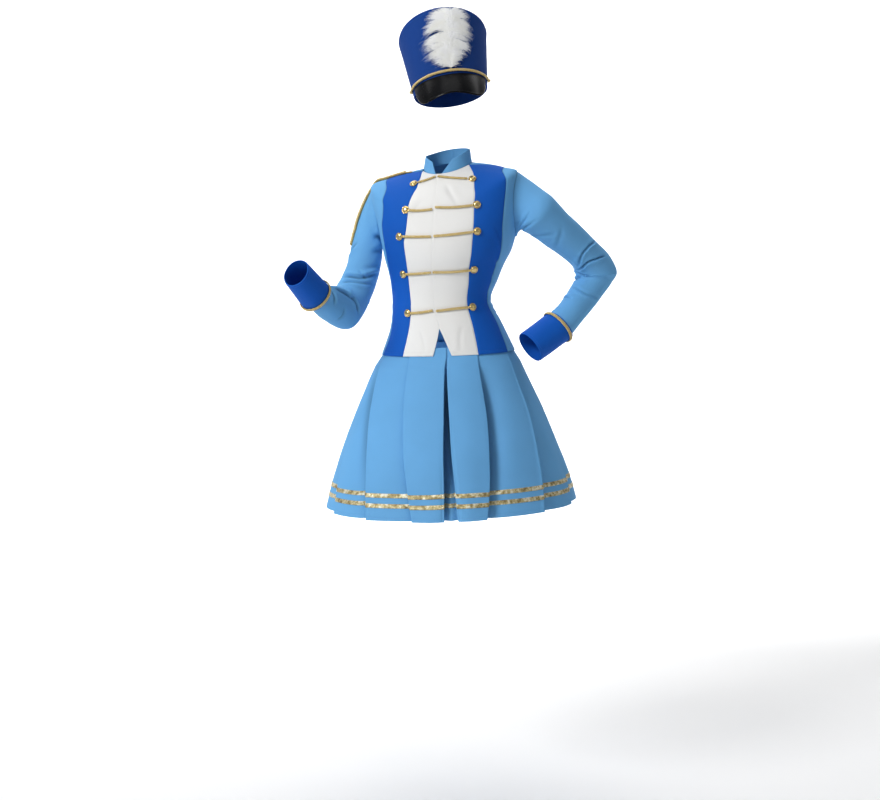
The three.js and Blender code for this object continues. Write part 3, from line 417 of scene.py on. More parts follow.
def cloth(name, colour, rough=0.72, sheen=0.35, sheen_tint=None, pitch=0.0011, weave=0.00012, fuzz=0.0, patch=0.06, spec=0.25):
    """smooth gabardine: a steep twill line over a plain thread grid, small colour drift and soft handling creases"""
    m = Mat(name); c = srgb(colour)
    drift = m.noise(5.0, 4.0, 0.55)
    base = m.ramp(drift, [(0.3, tint(c, 1 - patch)), (0.7, tint(c, 1 + patch))])
    twill = m.wave(2 * math.pi / pitch / 20, math.radians(62)); thread = m.wave(2 * math.pi / (pitch * 0.62) / 20, 0.0)
    slub = m.noise(300.0, 2.0, 0.5, m.uv.outputs[0], (1.0, 6.0, 1.0))
    base = m.blend(m.span(twill, 0.0, 0.10), base, tint(c, 0.82))
    base = m.blend(m.span(slub, 0.0, 0.09, 0.35, 0.65), base, tint(c, 1.16))
    at = m.n.new("ShaderNodeAttribute"); at.attribute_name = "painted_shade"      # painted shade: the colour darkens toward a third of itself by the painted shade stored on the points, in creases, along seams and in pleat recesses
    base = m.blend(m.span(at.outputs["Fac"], 0.0, 0.85), base, tint(c, 0.30))
    m.link(base, m.b.inputs["Base Color"])
    m.link(m.span(m.noise(40.0, 3.0), rough - 0.06, rough + 0.06), m.b.inputs["Roughness"])
    m.set(Sheen_Weight=sheen, Sheen_Roughness=0.45, Sheen_Tint=sheen_tint or tint(c, 1.6), Specular_IOR_Level=spec)
    m.relief(m.noise(22.0, 4.0, 0.55), 0.0012, 0.5).relief(twill, weave, 0.6).relief(thread, weave * 0.7, 0.5)
    if fuzz:
        m.relief(m.noise(900.0, 2.0, 0.7), fuzz, 0.6)
    return m.done()


def gold_yarn(name, colour=0xE6C980, pitch=0.0009):
    m = Mat(name); c = srgb(colour)
    yarn = m.wave(2 * math.pi / pitch / 20, math.radians(24), 0.4)
    # painted shade: darker on the strands' flanks, in the grooves between them and most on their under sides; the map's
    # second number is +1 mm on a strand's crown
    sep = m.n.new("ShaderNodeSeparateXYZ"); m.link(m.uv.outputs[0], sep.inputs[0])
    spots = m.noise(420.0, 3.0, 0.6)
    # random tone, and at the pale end of the ramp painted highlight patches from the same noise as the fine relief
    base = m.ramp(spots, [(0.25, tint(c, 0.78)), (0.5, c), (0.72, srgb(0xFBEFC6))])
    base = m.blend(m.span(yarn, 0.0, 0.16), base, tint(c, 0.5))
    base = m.blend(m.span(sep.outputs[1], 0.7, 0.0, -0.0002, 0.0006), base, tint(c, 0.3))
    m.link(base, m.b.inputs["Base Color"])
    m.link(m.span(spots, 0.3, 0.5), m.b.inputs["Roughness"])
    m.set(Metallic=0.35, Specular_IOR_Level=0.5)
    m.relief(yarn, 0.00025, 0.8).relief(spots, 0.0002, 0.5)
    return m.done()


def foil(name):
    """crinkled ribbon of metallised yarn: bright and brown patches that follow the crinkle's height, painted shade in
    its hollows and painted highlight on its crests
    """
    m = Mat(name)
    patch = m.noise(85.0, 4.0, 0.65); fine = m.noise(700.0, 2.0, 0.6)
    # painted light: brown in the crinkle's hollows and near white on its crests, from the same noise as the crinkle
    base = m.ramp(patch, [(0.36, srgb(0x8A7A52)), (0.45, srgb(0xB8A878)), (0.53, srgb(0xE0D3A2)), (0.62, srgb(0xFCF8E4))])
    weft = m.wave(2 * math.pi / 0.0009 / 20, 0.0)
    base = m.blend(m.span(weft, 0.0, 0.28), base, srgb(0x8A7850))
    m.link(base, m.b.inputs["Base Color"])
    m.link(m.span(fine, 0.3, 0.52), m.b.inputs["Roughness"])
    m.set(Metallic=0.45)
    m.relief(patch, 0.0018, 0.9).relief(fine, 0.0003, 0.7).relief(weft, 0.0002, 0.6)
    return m.done()


def gold_plate(name):
    m = Mat(name); c = srgb(0xE6CC8C)
    tone_and_painted_highlight = m.noise(160.0, 4.0, 0.6)
    # random tone, with pale patches that are painted highlights
    m.link(m.ramp(tone_and_painted_highlight, [(0.3, tint(c, 0.86)), (0.65, c), (0.85, srgb(0xF8EBC2))]), m.b.inputs["Base Color"])
    m.link(m.span(m.noise(260.0, 3.0), 0.16, 0.32), m.b.inputs["Roughness"])
    m.set(Metallic=0.82)
    m.relief(m.noise(330.0, 3.0, 0.6), 0.00015, 0.5)
    return m.done()


def patent(name):
    m = Mat(name)
    grain = m.noise(60.0, 3.0, 0.5); haze = m.noise(9.0, 4.0, 0.6)
    m.link(m.ramp(haze, [(0.3, srgb(0x060709)), (0.7, srgb(0x0C0D10))]), m.b.inputs["Base Color"])
    m.link(m.span(grain, 0.24, 0.33), m.b.inputs["Roughness"])
    m.set(Specular_IOR_Level=0.1, Coat_Weight=0.03, Coat_Roughness=0.15)
    m.relief(grain, 0.0004, 0.35).relief(m.noise(900.0, 2.0), 0.00005, 0.4)
    return m.done()


def barbs(name):
    m = Mat(name)
    tone = m.noise(30.0, 4.0, 0.6); fine = m.noise(700.0, 2.0, 0.6)
    base = m.ramp(tone, [(0.3, srgb(0xEAE9E0)), (0.55, srgb(0xF3F3F0)), (0.8, srgb(0xF8FAFE))])
    base = m.blend(m.span(fine, 0.0, 0.08), base, srgb(0xDDE2EA))
    m.link(base, m.b.inputs["Base Color"])
    m.link(m.span(fine, 0.75, 0.95), m.b.inputs["Roughness"])
    # Emission: painted light, a faint glow that stands in for light scattered through the barbs
    m.set(Sheen_Weight=0.5, Sheen_Roughness=0.5, Subsurface_Weight=0.75, Subsurface_Radius=(0.012, 0.012, 0.012), Subsurface_Scale=1.0, Emission_Color=srgb(0xF6F8FC), Emission_Strength=0.12)
    m.relief(fine, 0.0003, 0.5)
    return m.done()


M_BLUE = cloth("light_blue_gabardine", 0x69ACE2, sheen=0.10)
M_ROYAL = cloth("royal_gabardine", 0x0A5ABE, sheen=0.05, spec=0.2)
M_WHITE = cloth("white_gabardine", 0xF1F1EF, sheen=0.05, patch=0.02)
M_HAT = cloth("hat_felt", 0x0F3C86, rough=0.88, sheen=0.04, pitch=0.0016, weave=0.00008, fuzz=0.0003)
M_BRAID = gold_yarn("gold_yarn_braid")
M_FOIL = foil("gold_foil_ribbon")
M_BUTTON = gold_plate("gold_button_plate")
M_PATENT = patent("black_patent")
M_FEATHER = barbs("feather_barbs")
M_QUILL = cloth("feather_quill", 0xE2DDC4, rough=0.5, sheen=0.1)
M_TH_BLUE = cloth("thread_light_blue", 0x7DB8E8, rough=0.6)
M_TH_ROYAL = cloth("thread_royal", 0x2A62CC, rough=0.6)
M_TH_WHITE = cloth("thread_white", 0xF6F6F4, rough=0.6)
M_TH_BLACK = cloth("thread_black", 0x1A1C20, rough=0.5)

# ---- camera, light, floor -------------------------------------------------------------------------------------------
scene = bpy.context.scene
scene.view_settings.view_transform = "Standard"
cam_data = bpy.data.cameras.new("camera")
cam_data.sensor_fit = "HORIZONTAL"; cam_data.sensor_width = 36.0; cam_data.lens = 4550 / 2.467 * 36 / 880
cam_data.clip_end = 60
camera = bpy.data.objects.new("camera", cam_data)
camera.location = (-0.0173, -4.52507, -0.0864); camera.rotation_euler = (math.radians(84), 0, 0)
scene.collection.objects.link(camera); scene.camera = camera

FLOOR_Z = -1.559


def stage():
    """plain pale floor that turns up into a plain wall far behind"""
    prof = [(-9.0, 0.0)]
    for k in range(0, 13):
        a = math.pi / 2 * k / 12; prof.append((5.0 + 3.0 * math.sin(a), 3.0 - 3.0 * math.cos(a)))
    prof.append((8.0, 9.0))
    verts = []
    for y, z in prof:
        for x in (-11.0, 11.0):
            verts.append((x, y, z + FLOOR_Z))
    faces = [(2 * i, 2 * i + 1, 2 * i + 3, 2 * i + 2) for i in range(len(prof) - 1)]
    me = bpy.data.meshes.new("studio_floor"); me.from_pydata(verts, [], faces); me.polygons.foreach_set("use_smooth", [True] * len(faces))
    m = Mat("studio_paper")
    m.link(m.ramp(m.noise(0.8, 3.0), [(0.3, (0.93, 0.935, 0.94, 1)), (0.7, (0.95, 0.95, 0.95, 1))]), m.b.inputs["Base Color"])
    m.set(Roughness=0.9, Specular_IOR_Level=0.1)
    me.materials.append(m.done()); me.update()
    ob = bpy.data.objects.new("studio_floor", me); scene.collection.objects.link(ob)


def area(name, loc, target, size, power, colour=(1, 1, 1)):
    d = bpy.data.lights.new(name, "AREA"); d.shape = "RECTANGLE"; d.size, d.size_y = size; d.energy = power; d.color = colour
    o = bpy.data.objects.new(name, d); o.location = loc
    v = np.array(target, float) - np.array(loc, float)
    from mathutils import Vector
    o.rotation_euler = Vector(v).to_track_quat("-Z", "Y").to_euler()
    scene.collection.objects.link(o)
    return o


stage()
world = bpy.data.worlds.new("studio"); scene.world = world; world.use_nodes = True
world.node_tree.nodes["Background"].inputs[0].default_value = (1.0, 1.0, 1.0, 1)
world.node_tree.nodes["Background"].inputs[1].default_value = 0.20
area("key", (-3.3, -3.2, 2.4), (0, 0, -0.35), (1.7, 1.7), 175)
area("fill", (3.6, -3.0, 0.8), (0, 0, -0.4), (2.6, 2.6), 9)
area("top", (-0.4, -0.5, 3.2), (0, 0, -0.3), (2.4, 2.4), 26)
area("back_wash", (0.0, 3.2, 2.6), (0.0, 8.0, 0.6), (6.0, 3.0), 420)
area("floor_wash", (0.0, 1.8, 2.4), (0.0, 4.2, -1.559), (5.0, 3.0), 120)

# ---- bodice -----------------------------------------------------------------------------------------------------------
# creases on the bodice: (points (ring, angle)), width, depth, ridge, side, tapers
TORSO_FOLDS = [
    ([(9.2, -31), (9.9, -22), (10.4, -8)], 5.0, 1.6, 1.2, 1, (0.2, 0.6)),
    ([(10.6, -26), (11.3, -14), (11.6, 2)], 4.0, 1.5, 1.3, 1, (0.2, 0.5)),
    ([(11.5, -19), (12.0, -8), (12.1, 8), (11.8, 24)], 4.5, 1.8, 1.4, -1, (0.2, 0.4)),
    ([(12.4, -14), (12.6, 2), (12.5, 18)], 4.0, 1.4, 1.3, 1, (0.3, 0.4)),
    ([(11.7, -166), (12.0, -178), (12.0, -196)], 4.5, 1.6, 1.3, 1, (0.25, 0.4)),
    ([(12.5, -160), (12.7, -176), (12.4, -192)], 4.0, 1.3, 1.1, -1, (0.3, 0.4)),
    ([(8.8, -26), (8.0, -36), (7.2, -44)], 6.0, 1.5, 1.3, 1, (0.15, 0.6)),
    ([(8.9, -152), (8.2, -142), (7.6, -134)], 6.0, 1.4, 1.2, -1, (0.15, 0.6)),
    ([(1.6, -82), (3.4, -76), (5.4, -72)], 9.0, 1.6, 1.2, 1, (0.3, 0.5)),
    ([(3.0, -99), (4.6, -104), (6.2, -108)], 8.0, 1.0, 0.8, -1, (0.35, 0.5)),
    ([(12.9, -112), (13.4, -106), (13.9, -103)], 7.0, 0.9, 0.8, 1, (0.3, 0.2)),
    ([(12.8, -66), (13.3, -72), (13.9, -74)], 7.0, 0.9, 0.8, -1, (0.3, 0.2)),
    # hidden sides: the back waist and below the shoulder blades
    ([(11.6, 40), (11.9, 62), (11.8, 92)], 5.0, 1.8, 1.5, 1, (0.2, 0.35)),
    ([(12.2, 70), (12.3, 96), (12.1, 128)], 4.5, 1.6, 1.4, -1, (0.25, 0.4)),
    ([(11.2, 118), (11.5, 138), (11.8, 160)], 5.0, 1.4, 1.2, 1, (0.3, 0.3)),
    ([(12.8, 50), (13.0, 70), (12.9, 86)], 4.5, 1.2, 1.1, 1, (0.35, 0.35)),
    ([(8.6, 36), (8.0, 50), (7.6, 66)], 7.0, 1.5, 1.3, 1, (0.1, 0.6)),
    ([(8.6, 144), (8.1, 130), (7.8, 116)], 7.0, 1.5, 1.3, -1, (0.1, 0.6)),
    ([(5.0, 60), (6.4, 66), (7.9, 68)], 9.0, 1.3, 1.1, 1, (0.4, 0.4)),
    ([(5.2, 122), (6.6, 116), (8.2, 115)], 9.0, 1.2, 1.0, -1, (0.4, 0.4)),
    ([(13.0, 100), (13.5, 112), (13.9, 118)], 6.0, 1.1, 1.0, 1, (0.35, 0.15)),
]
T_FOLDS = [(poly(torso, pts), w, d, rg, sd, tp) for pts, w, d, rg, sd, tp in TORSO_FOLDS]


def seam_line(k):
    return lambda r: (r, cr(SEAMS[:, k], r))


def royal_edge(k):
    return lambda r: (cr(SEAMS[:, 3], r), cr(SEAMS[:, k], r))


def opened(sign, width):
    return lambda r: (r, cr(SEAMS[:, 2], r) + sign * width * np.clip((r - TAIL["start"]) / (14 - TAIL["start"]), 0, 1))


UNDER = ARMHOLE["mid"] + ARMHOLE["half"]


def side_edge(sign, mirrored=0):
    def line(r):
        q = np.pi * np.clip(r, 0, 8) / 8
        s = np.where(r <= 8, ARMHOLE["mid"] - ARMHOLE["half"] * np.cos(q), mix(UNDER, 14, (r - 8) / 6))
        t = np.where(r <= 8, ARMHOLE["centre"] + sign * ARMHOLE["swing"] * np.sin(q), ARMHOLE["centre"])
        return s, (-180 - t if mirrored == 1 else 180 - t if mirrored == 2 else t)
    return line


def back_edge(mirrored):
    side = side_edge(1, mirrored)

    def line(r):
        a = np.where(r < 4, mix(SHOULDER[0][0], SHOULDER[1][0], r / 4), mix(SHOULDER[1][0], SHOULDER[2][0], (r - 4) / 3))
        b = np.where(r < 4, mix(SHOULDER[0][1], SHOULDER[1][1], r / 4), mix(SHOULDER[1][1], SHOULDER[2][1], (r - 4) / 3))
        s, t = side(np.maximum(r - 7, 0)); b = 180 - b if mirrored else b
        return np.where(r < 7, a, s), np.where(r < 7, b, t)
    return line


def stations(a, b, lo, hi, n, squeeze=0.8):
    """real row numbers spaced evenly along the cloth, closer at both ends"""
    r = np.linspace(lo, hi, 700); (sa, ta), (sb, tb) = a(r), b(r)
    p = torso((sa + sb) / 2, (ta + tb) / 2); d = np.concatenate([[0], np.cumsum(np.linalg.norm(np.diff(p, axis=0), axis=1))])
    return np.interp(ease(n, squeeze) * d[-1], d, r)


EDGE_DIP, EDGE_W = 1.0, 2.0


def panel(name, a, b, rows, cols, mat, lo=0.0, hi=14.0, lift=None, wall=1.3, seed=1, squeeze=0.8):
    r = stations(a, b, lo, hi, rows, squeeze); (sa, ta), (sb, tb) = a(r), b(r); u = ease(cols, 0.85)[None, :]
    s, t = mix(sa[:, None], sb[:, None], u), mix(ta[:, None], tb[:, None], u)
    P = torso(s, t); N, _, _ = torso_axes(s, t)
    U, W = arc_uv(P, False); L, Rr, T, B = U, U[:, -1:] - U, W, W[-1:] - W
    # the seam gap of the part, 0.18 mm each side
    for edge, inner in (((slice(None), 0), (slice(None), 1)), ((slice(None), -1), (slice(None), -2)), ((0, slice(None)), (1, slice(None))), ((-1, slice(None)), (-2, slice(None)))):
        P[edge] = P[edge] + unit(P[inner] - P[edge]) * SEAM
    near = np.minimum(np.minimum(L, Rr), np.minimum(T, B))
    h = -EDGE_DIP * bump(near / EDGE_W)
    pucker = ripple(U * 0.25, W, seed, 15.0)
    h = h + 0.32 * pucker * np.exp(-np.minimum(L, Rr) / 7.0) + 0.25 * ripple(U, W * 0.25, seed + 5, 16.0) * np.exp(-B / 9.0)
    h = h + 0.55 * ripple3(P, 11, 95.0) + 0.22 * ripple3(P, 12, 34.0)
    ff = fold_field(P, N, T_FOLDS); h = h + ff
    # painted shade: darker colour along the bottoms of the folds, and on the light blue panels along all their seams
    # and edges
    shade = 0.5 * np.clip(-ff / 2.5, 0, 1) ** 1.5
    if mat == M_BLUE:
        shade = np.maximum(shade, 0.8 * bump(near / 1.4))
    # hem stitch line 9 mm above the bodice hem
    h = h - 0.45 * bump((B - 9.0) / 1.1)
    if lift is not None:
        h = h + lift(L, Rr, T, B, r[:, None])
    P = P + N * h[..., None]
    ob = shell(name, P, N, wall, False, mat, rim=0.12); paint_shade(ob, shade)
    return ob, P, N


def over(L, Rr, T, B, r):      # front edge that laps over its neighbour
    return 0.25 * bump(np.maximum(L - 1.2, 0) / 7.0) + 0.75 * bump(L / 2.0)


def beneath(L, Rr, T, B, r):   # front edge that lies under it
    return -0.2 * bump(Rr / 6.0) + 0.7 * bump(Rr / 2.0)


CENTRE_L, CENTRE_R = opened(1, TAIL["left"]), opened(-1, TAIL["right"])
plastron_right, PR, PRN = panel("plastron_right_cloth", seam_line(0), CENTRE_R, 170, 34, M_WHITE, lift=beneath, seed=21)
plastron_left, PL, PLN = panel("plastron_left_cloth", CENTRE_L, seam_line(1), 170, 42, M_WHITE, lift=over, seed=22)
royal_right, RR, RRN = panel("royal_panel_right_cloth", royal_edge(4), seam_line(0), 160, 32, M_ROYAL, seed=23)
royal_left, RL, RLN = panel("royal_panel_left_cloth", seam_line(1), royal_edge(5), 160, 34, M_ROYAL, seed=24)
side_right, SR, SRN = panel("side_front_right_cloth", side_edge(-1, 1), royal_edge(4), 150, 24, M_BLUE, seed=25)
side_left, SL, SLN = panel("side_front_left_cloth", royal_edge(5), side_edge(-1), 150, 24, M_BLUE, seed=26)
back, BK, BKN = panel("back_cloth", back_edge(0), back_edge(2), 168, 84, M_BLUE, lo=0.0, hi=21.0, seed=27)


# ---- collar -------------------------------------------------------------------------------------------------------------
def collar_point(t, h):
    p = torso(np.zeros_like(t * h), t * np.ones_like(h)); d = np.array([2.0, 4.0, 0.0]) - p; d[..., 2] = 0
    return p + vec(0, 0, -1.4 + (COLLAR_H + 3.0) * (h * np.ones_like(t))) + unit(d) * (1.7 + 5.3 * h * np.ones_like(t))[..., None]


def collar(name, front, front_top, back_t, seed):
    u, h = np.meshgrid(ease(84, 0.8), ease(26, 0.8))
    t = mix(mix(front, front_top, h), back_t, u)
    hh = h * (1 - 0.12 * (1 - u) ** 6 - 0.10 * np.exp(-u * 60))
    P = collar_point(t, hh)
    q = unit(collar_point(t + 1, hh) - collar_point(t - 1, hh)); N = unit(np.cross(q, np.array([0, 0, 1.0])))
    N = np.where(((N * (P - vec(2, 4, P[..., 2]))).sum(-1) < 0)[..., None], -N, N)
    U, W = arc_uv(P, False)
    near = np.minimum(np.minimum(U, U[:, -1:] - U), np.minimum(W, W[-1:] - W))
    k = -0.6 * bump(near / 1.6) - 0.35 * bump((W[-1:] - W - 5.5) / 0.9) - 0.35 * bump((U - 5.5) / 0.9) * (h > 0.05) + 0.5 * ripple3(P, seed, 40.0)
    P = P + N * k[..., None]
    return shell(name, P, N, 1.7, False, M_BLUE, rim=0.3), P, N


collar_left, CL, CLN = collar("collar_left_cloth", -92, -70, 89.7, 31)
collar_right, CR, CRN = collar("collar_right_cloth", -106, -118, -269.7, 32)


# ---- sleeves ------------------------------------------------------------------------------------------------------------
def tube_axis(rows, v):
    return vec((cr(rows[:, 0], v) + cr(rows[:, 2], v)) / 2, cr(rows[:, 4], v), (cr(rows[:, 1], v) + cr(rows[:, 3], v)) / 2)


def tube_section(rows, v, side):
    c = tube_axis(rows, v); T = unit(tube_axis(rows, np.minimum(v + 0.05, len(rows) - 1)) - tube_axis(rows, np.maximum(v - 0.05, 0)))
    N = vec((cr(rows[:, 0], v) - cr(rows[:, 2], v)) / 2, 0, (cr(rows[:, 1], v) - cr(rows[:, 3], v)) / 2)
    B = unit(np.cross(T, N)) * (cr(rows[:, 5], v) * (1 if side == "left" else -1))[..., None]
    return c, T, N, B


def tube_point(rows, v, phi, side):
    c, T, N, B = tube_section(rows, v, side)
    return c + N * np.cos(phi)[..., None] + B * np.sin(phi)[..., None]


def hole(side, phi):
    s = ARMHOLE["mid"] - ARMHOLE["half"] * np.cos(phi); t = ARMHOLE["centre"] - ARMHOLE["swing"] * np.sin(phi)
    m = t if side == "left" else -180 - t; p = torso(s, m); n, _, _ = torso_axes(s, m)
    e = torso(ARMHOLE["mid"], ARMHOLE["centre"] if side == "left" else -180 - ARMHOLE["centre"]) - p
    return p, n, unit(e - n * (e * n).sum(-1, keepdims=True))


def sleeve_point(side, v, phi):
    rows = ARM[side]; v, phi = np.broadcast_arrays(np.asarray(v, float), np.asarray(phi, float))
    low = tube_point(rows, np.maximum(v - 1, 0), phi, side)
    p, n, e = hole(side, phi); c, T, N, B = tube_section(rows, np.zeros_like(v), side)
    q = c + N * np.cos(phi)[..., None] + B * np.sin(phi)[..., None]
    start = p - e * 0.5 - n * 1.25; span = np.linalg.norm(q - start, axis=-1, keepdims=True); w = ((1 + np.cos(phi)) / 2)[..., None]
    m0 = unit(e * mix(0.15, 0.75, w) + T * mix(0.85, 0.35, w) + n * mix(0.25, 0.35, w)) * span * 1.1
    t = np.clip(v, 0, 1)[..., None]; t2, t3 = t * t, t * t * t
    cap = start * (2 * t3 - 3 * t2 + 1) + m0 * (t3 - 2 * t2 + t) + q * (-2 * t3 + 3 * t2) + T * span * (t3 - t2)
    return np.where((v < 1)[..., None], cap, low)


# creases of the sleeves: (row, degrees round the arm) points, width, depth, ridge, side, tapers
SLEEVE_FOLDS = {
    "left": [
        ([(3.9, -8), (3.75, 20), (3.6, 60), (3.83, 100), (4.8, 146)], 4.6, 3.4, 2.2, 1, (0.25, 0.3)),
        ([(4.62, 22), (4.35, 58), (4.3, 102), (5.2, 158)], 4.4, 4.2, 2.6, 1, (0.2, 0.3)),
        ([(8.0, 182), (8.35, 140), (8.72, 84), (8.5, 30), (8.25, 0)], 6.5, 1.7, 1.5, -1, (0.3, 0.35)),
        ([(5.6, 212), (5.5, 176), (5.75, 132), (6.0, 96)], 4.6, 4.0, 2.6, -1, (0.25, 0.45)),
        ([(6.9, 206), (6.95, 176), (6.8, 140), (6.55, 108)], 4.4, 3.0, 2.2, 1, (0.25, 0.45)),
        ([(9.3, 214), (9.15, 176), (9.3, 138), (9.55, 112)], 5.0, 2.4, 1.8, 1, (0.3, 0.4)),
        ([(10.35, 206), (10.35, 172), (10.1, 136)], 4.4, 2.2, 1.7, -1, (0.3, 0.45)),
        ([(0.35, 178), (0.72, 138), (0.92, 92)], 6.0, 2.8, 1.8, 1, (0.15, 0.55)),
        ([(0.28, 150), (0.5, 118), (0.6, 84)], 5.0, 1.8, 1.3, 1, (0.15, 0.55)),
        ([(1.5, 176), (1.85, 132), (2.3, 86)], 9.0, 1.6, 1.3, -1, (0.3, 0.5)),
        ([(2.9, 150), (2.5, 104), (2.0, 62)], 9.0, 1.3, 1.0, 1, (0.35, 0.4)),
        # the side away from the camera
        ([(5.3, 182), (5.0, 224), (4.7, 262), (4.5, 300)], 4.8, 4.2, 2.6, 1, (0.15, 0.35)),
        ([(6.3, 184), (6.35, 226), (6.2, 270)], 4.6, 3.2, 2.2, -1, (0.15, 0.45)),
        ([(4.0, 196), (3.8, 240), (3.9, 286), (4.3, 322)], 5.2, 2.8, 2.0, -1, (0.25, 0.35)),
        ([(8.3, 204), (8.7, 250), (8.5, 300)], 6.0, 1.9, 1.5, 1, (0.3, 0.4)),
        ([(0.4, 196), (0.8, 232), (0.9, 276)], 6.5, 2.8, 1.8, -1, (0.15, 0.5)),
        ([(1.7, 214), (2.2, 258), (2.8, 292)], 9.0, 1.5, 1.2, 1, (0.35, 0.4)),
    ],
    "right": [
        ([(2.5, -12), (2.2, 6), (1.85, 32), (1.55, 58)], 7.5, 2.0, 1.6, -1, (0.3, 0.4)),
        ([(4.3, 18), (4.25, 42), (4.2, 94), (3.5, 136), (3.0, 172)], 5.6, 3.0, 2.2, 1, (0.25, 0.3)),
        ([(5.55, 20), (5.1, 48), (4.83, 78), (4.45, 116), (4.1, 156)], 5.2, 2.4, 1.9, -1, (0.2, 0.35)),
        ([(3.5, 78), (3.75, 92), (4.12, 118)], 4.2, 1.5, 1.2, 1, (0.35, 0.35)),
        ([(9.6, -14), (9.0, 28), (7.75, 62), (7.1, 100), (6.9, 130)], 5.0, 4.6, 2.8, 1, (0.2, 0.3)),
        ([(7.0, 28), (7.15, 50), (7.33, 74), (6.95, 110)], 4.8, 4.4, 2.8, -1, (0.2, 0.35)),
        ([(8.7, 150), (8.5, 120), (8.6, 88)], 4.4, 2.0, 1.6, 1, (0.3, 0.4)),
        ([(10.2, 20), (10.0, 52), (9.9, 92)], 5.0, 2.2, 1.7, 1, (0.25, 0.45)),
        ([(0.3, 150), (0.75, 120), (1.15, 92)], 7.0, 2.4, 1.6, 1, (0.2, 0.5)),
        ([(1.2, 172), (1.7, 132), (2.3, 100)], 8.0, 1.9, 1.5, -1, (0.25, 0.45)),
        ([(2.6, 160), (3.1, 120), (3.3, 82)], 8.0, 1.4, 1.2, 1, (0.3, 0.4)),
        # the side away from the camera
        ([(5.1, 178), (5.2, 214), (5.6, 250)], 5.4, 3.6, 2.4, 1, (0.2, 0.4)),
        ([(6.2, 190), (6.5, 226), (6.7, 262), (6.9, 300)], 5.2, 3.8, 2.5, -1, (0.2, 0.35)),
        ([(7.6, 206), (7.7, 248), (8.0, 292)], 5.0, 3.0, 2.2, 1, (0.25, 0.4)),
        ([(3.6, 202), (3.9, 246), (4.3, 292)], 6.4, 2.2, 1.8, 1, (0.3, 0.35)),
        ([(0.4, 206), (0.9, 240), (1.3, 276)], 7.0, 2.6, 1.8, -1, (0.15, 0.5)),
        ([(1.9, 220), (2.5, 262), (2.9, 300)], 8.5, 1.6, 1.3, 1, (0.3, 0.4)),
        ([(9.2, 220), (9.5, 262), (9.3, 306)], 5.4, 2.0, 1.6, -1, (0.3, 0.4)),
    ],
}
SLEEVE_END = {"left": 11.0, "right": 11.0}


def sleeve(side, seed):
    rr = np.linspace(0, SLEEVE_END[side], 900); mid = np.stack([sleeve_point(side, rr, np.full_like(rr, a)) for a in (0, 1.57, 3.14, 4.71)]).mean(0)
    d = np.concatenate([[0], np.cumsum(np.linalg.norm(np.diff(mid, axis=0), axis=1))])
    v = np.interp(ease(300, 0.4) * d[-1], d, rr)[:, None]; phi = (np.arange(104) * 2 * np.pi / 104)[None, :]
    P = sleeve_point(side, v, phi)
    ax = P.mean(1, keepdims=True); N = grid_normals(P, True); N = np.where(((N * (P - ax)).sum(-1).mean() < 0), -N, N)
    U, W = arc_uv(P, True)
    h = -EDGE_DIP * bump(W / EDGE_W)
    # eased fullness at the sleeve head, short uneven gathers
    top = bump(((phi + np.pi) % (2 * np.pi) - np.pi) / 1.15)
    gather = np.sin(phi * 26 + 1.3 * np.sin(phi * 5 + seed)) * (0.6 + 0.4 * np.sin(phi * 7 + seed))
    h = h + top * gather * 1.1 * smooth(W / 2.5) * np.exp(-W / 13.0)
    h = h + 0.9 * ripple3(P, seed, 85.0) + 0.35 * ripple3(P, seed + 3, 30.0)
    folds = [(poly(lambda a, b: sleeve_point(side, a, rad(b)), pts, 16), (0.78 if side == "left" else 1.15) * w, (1.3 if side == "left" else 1.65) * dp, (1.25 if side == "left" else 1.5) * rg, sd, tp) for pts, w, dp, rg, sd, tp in SLEEVE_FOLDS[side]]
    # painted shade: darker colour along the bottoms of the folds and at the seam round the sleeve head
    ff = fold_field(P, N, folds); h = h + ff; shade = np.maximum(np.clip(-ff / (5.2 if side == "left" else 4.4), 0, 1) ** 1.5, 0.8 * bump(W / 1.6))
    low = np.minimum.reduce([np.roll(h, k, 0) for k in (-2, -1, 0, 1, 2)]); low[:3], low[-3:] = h[:3], h[-3:]
    P = P + N * h[..., None]
    N = grid_normals(P, True) * (1 if (grid_normals(P, True) * (P - ax)).sum(-1).mean() > 0 else -1)
    ob = shell(f"sleeve_{side}_cloth", P, N, 1.2 + (h - low), True, M_BLUE, rim=0.1, skip=2); paint_shade(ob, shade)
    return ob, P, N


sleeve_left, SLP, SLPN = sleeve("left", 41)
sleeve_right, SRP, SRPN = sleeve("right", 43)


def cuff(side, seed):
    rows = CUFF[side]; v = (ease(34, 0.8) * 2)[:, None]; phi = (np.arange(112) * 2 * np.pi / 112)[None, :]
    P = tube_point(rows, v * np.ones_like(phi), phi * np.ones_like(v), side)
    ax = P.mean(1, keepdims=True); N = grid_normals(P, True); sgn = 1 if (N * (P - ax)).sum(-1).mean() > 0 else -1; N = N * sgn
    U, W = arc_uv(P, True); near = np.minimum(W, W[-1:] - W)
    h = -0.55 * bump(near / 1.7) + 0.5 * ripple3(P, seed, 45.0) - 0.3 * bump((W[-1:] - W - 6.0) / 0.9)
    # the seam that closes the cuff, on the under side
    seam = (phi - np.pi * 1.12) * np.linalg.norm(P[:, :1] - ax, axis=-1)
    h = h - 0.8 * bump(seam / 1.3)
    P = P + N * h[..., None]
    return shell(f"cuff_{side}_cloth", P, N, 1.9, True, M_ROYAL, rim=0.3), P, N


cuff_left, CFL, CFLN = cuff("left", 51)
cuff_right, CFR, CFRN = cuff("right", 52)

# ---- skirt: knife pleats that fold under their neighbours, a box pleat at the centre front -----------------------------------
UNDERLAP = 13.0
BOW = {0: 5.0, 4: 2.0, 5: 1.5}              # degrees that a pleat's edge bows out at mid height
FOLD_R = 1.25
Z_ROWS = np.array([-436.0, -443.0] + list(SKIRT[:, 0]))


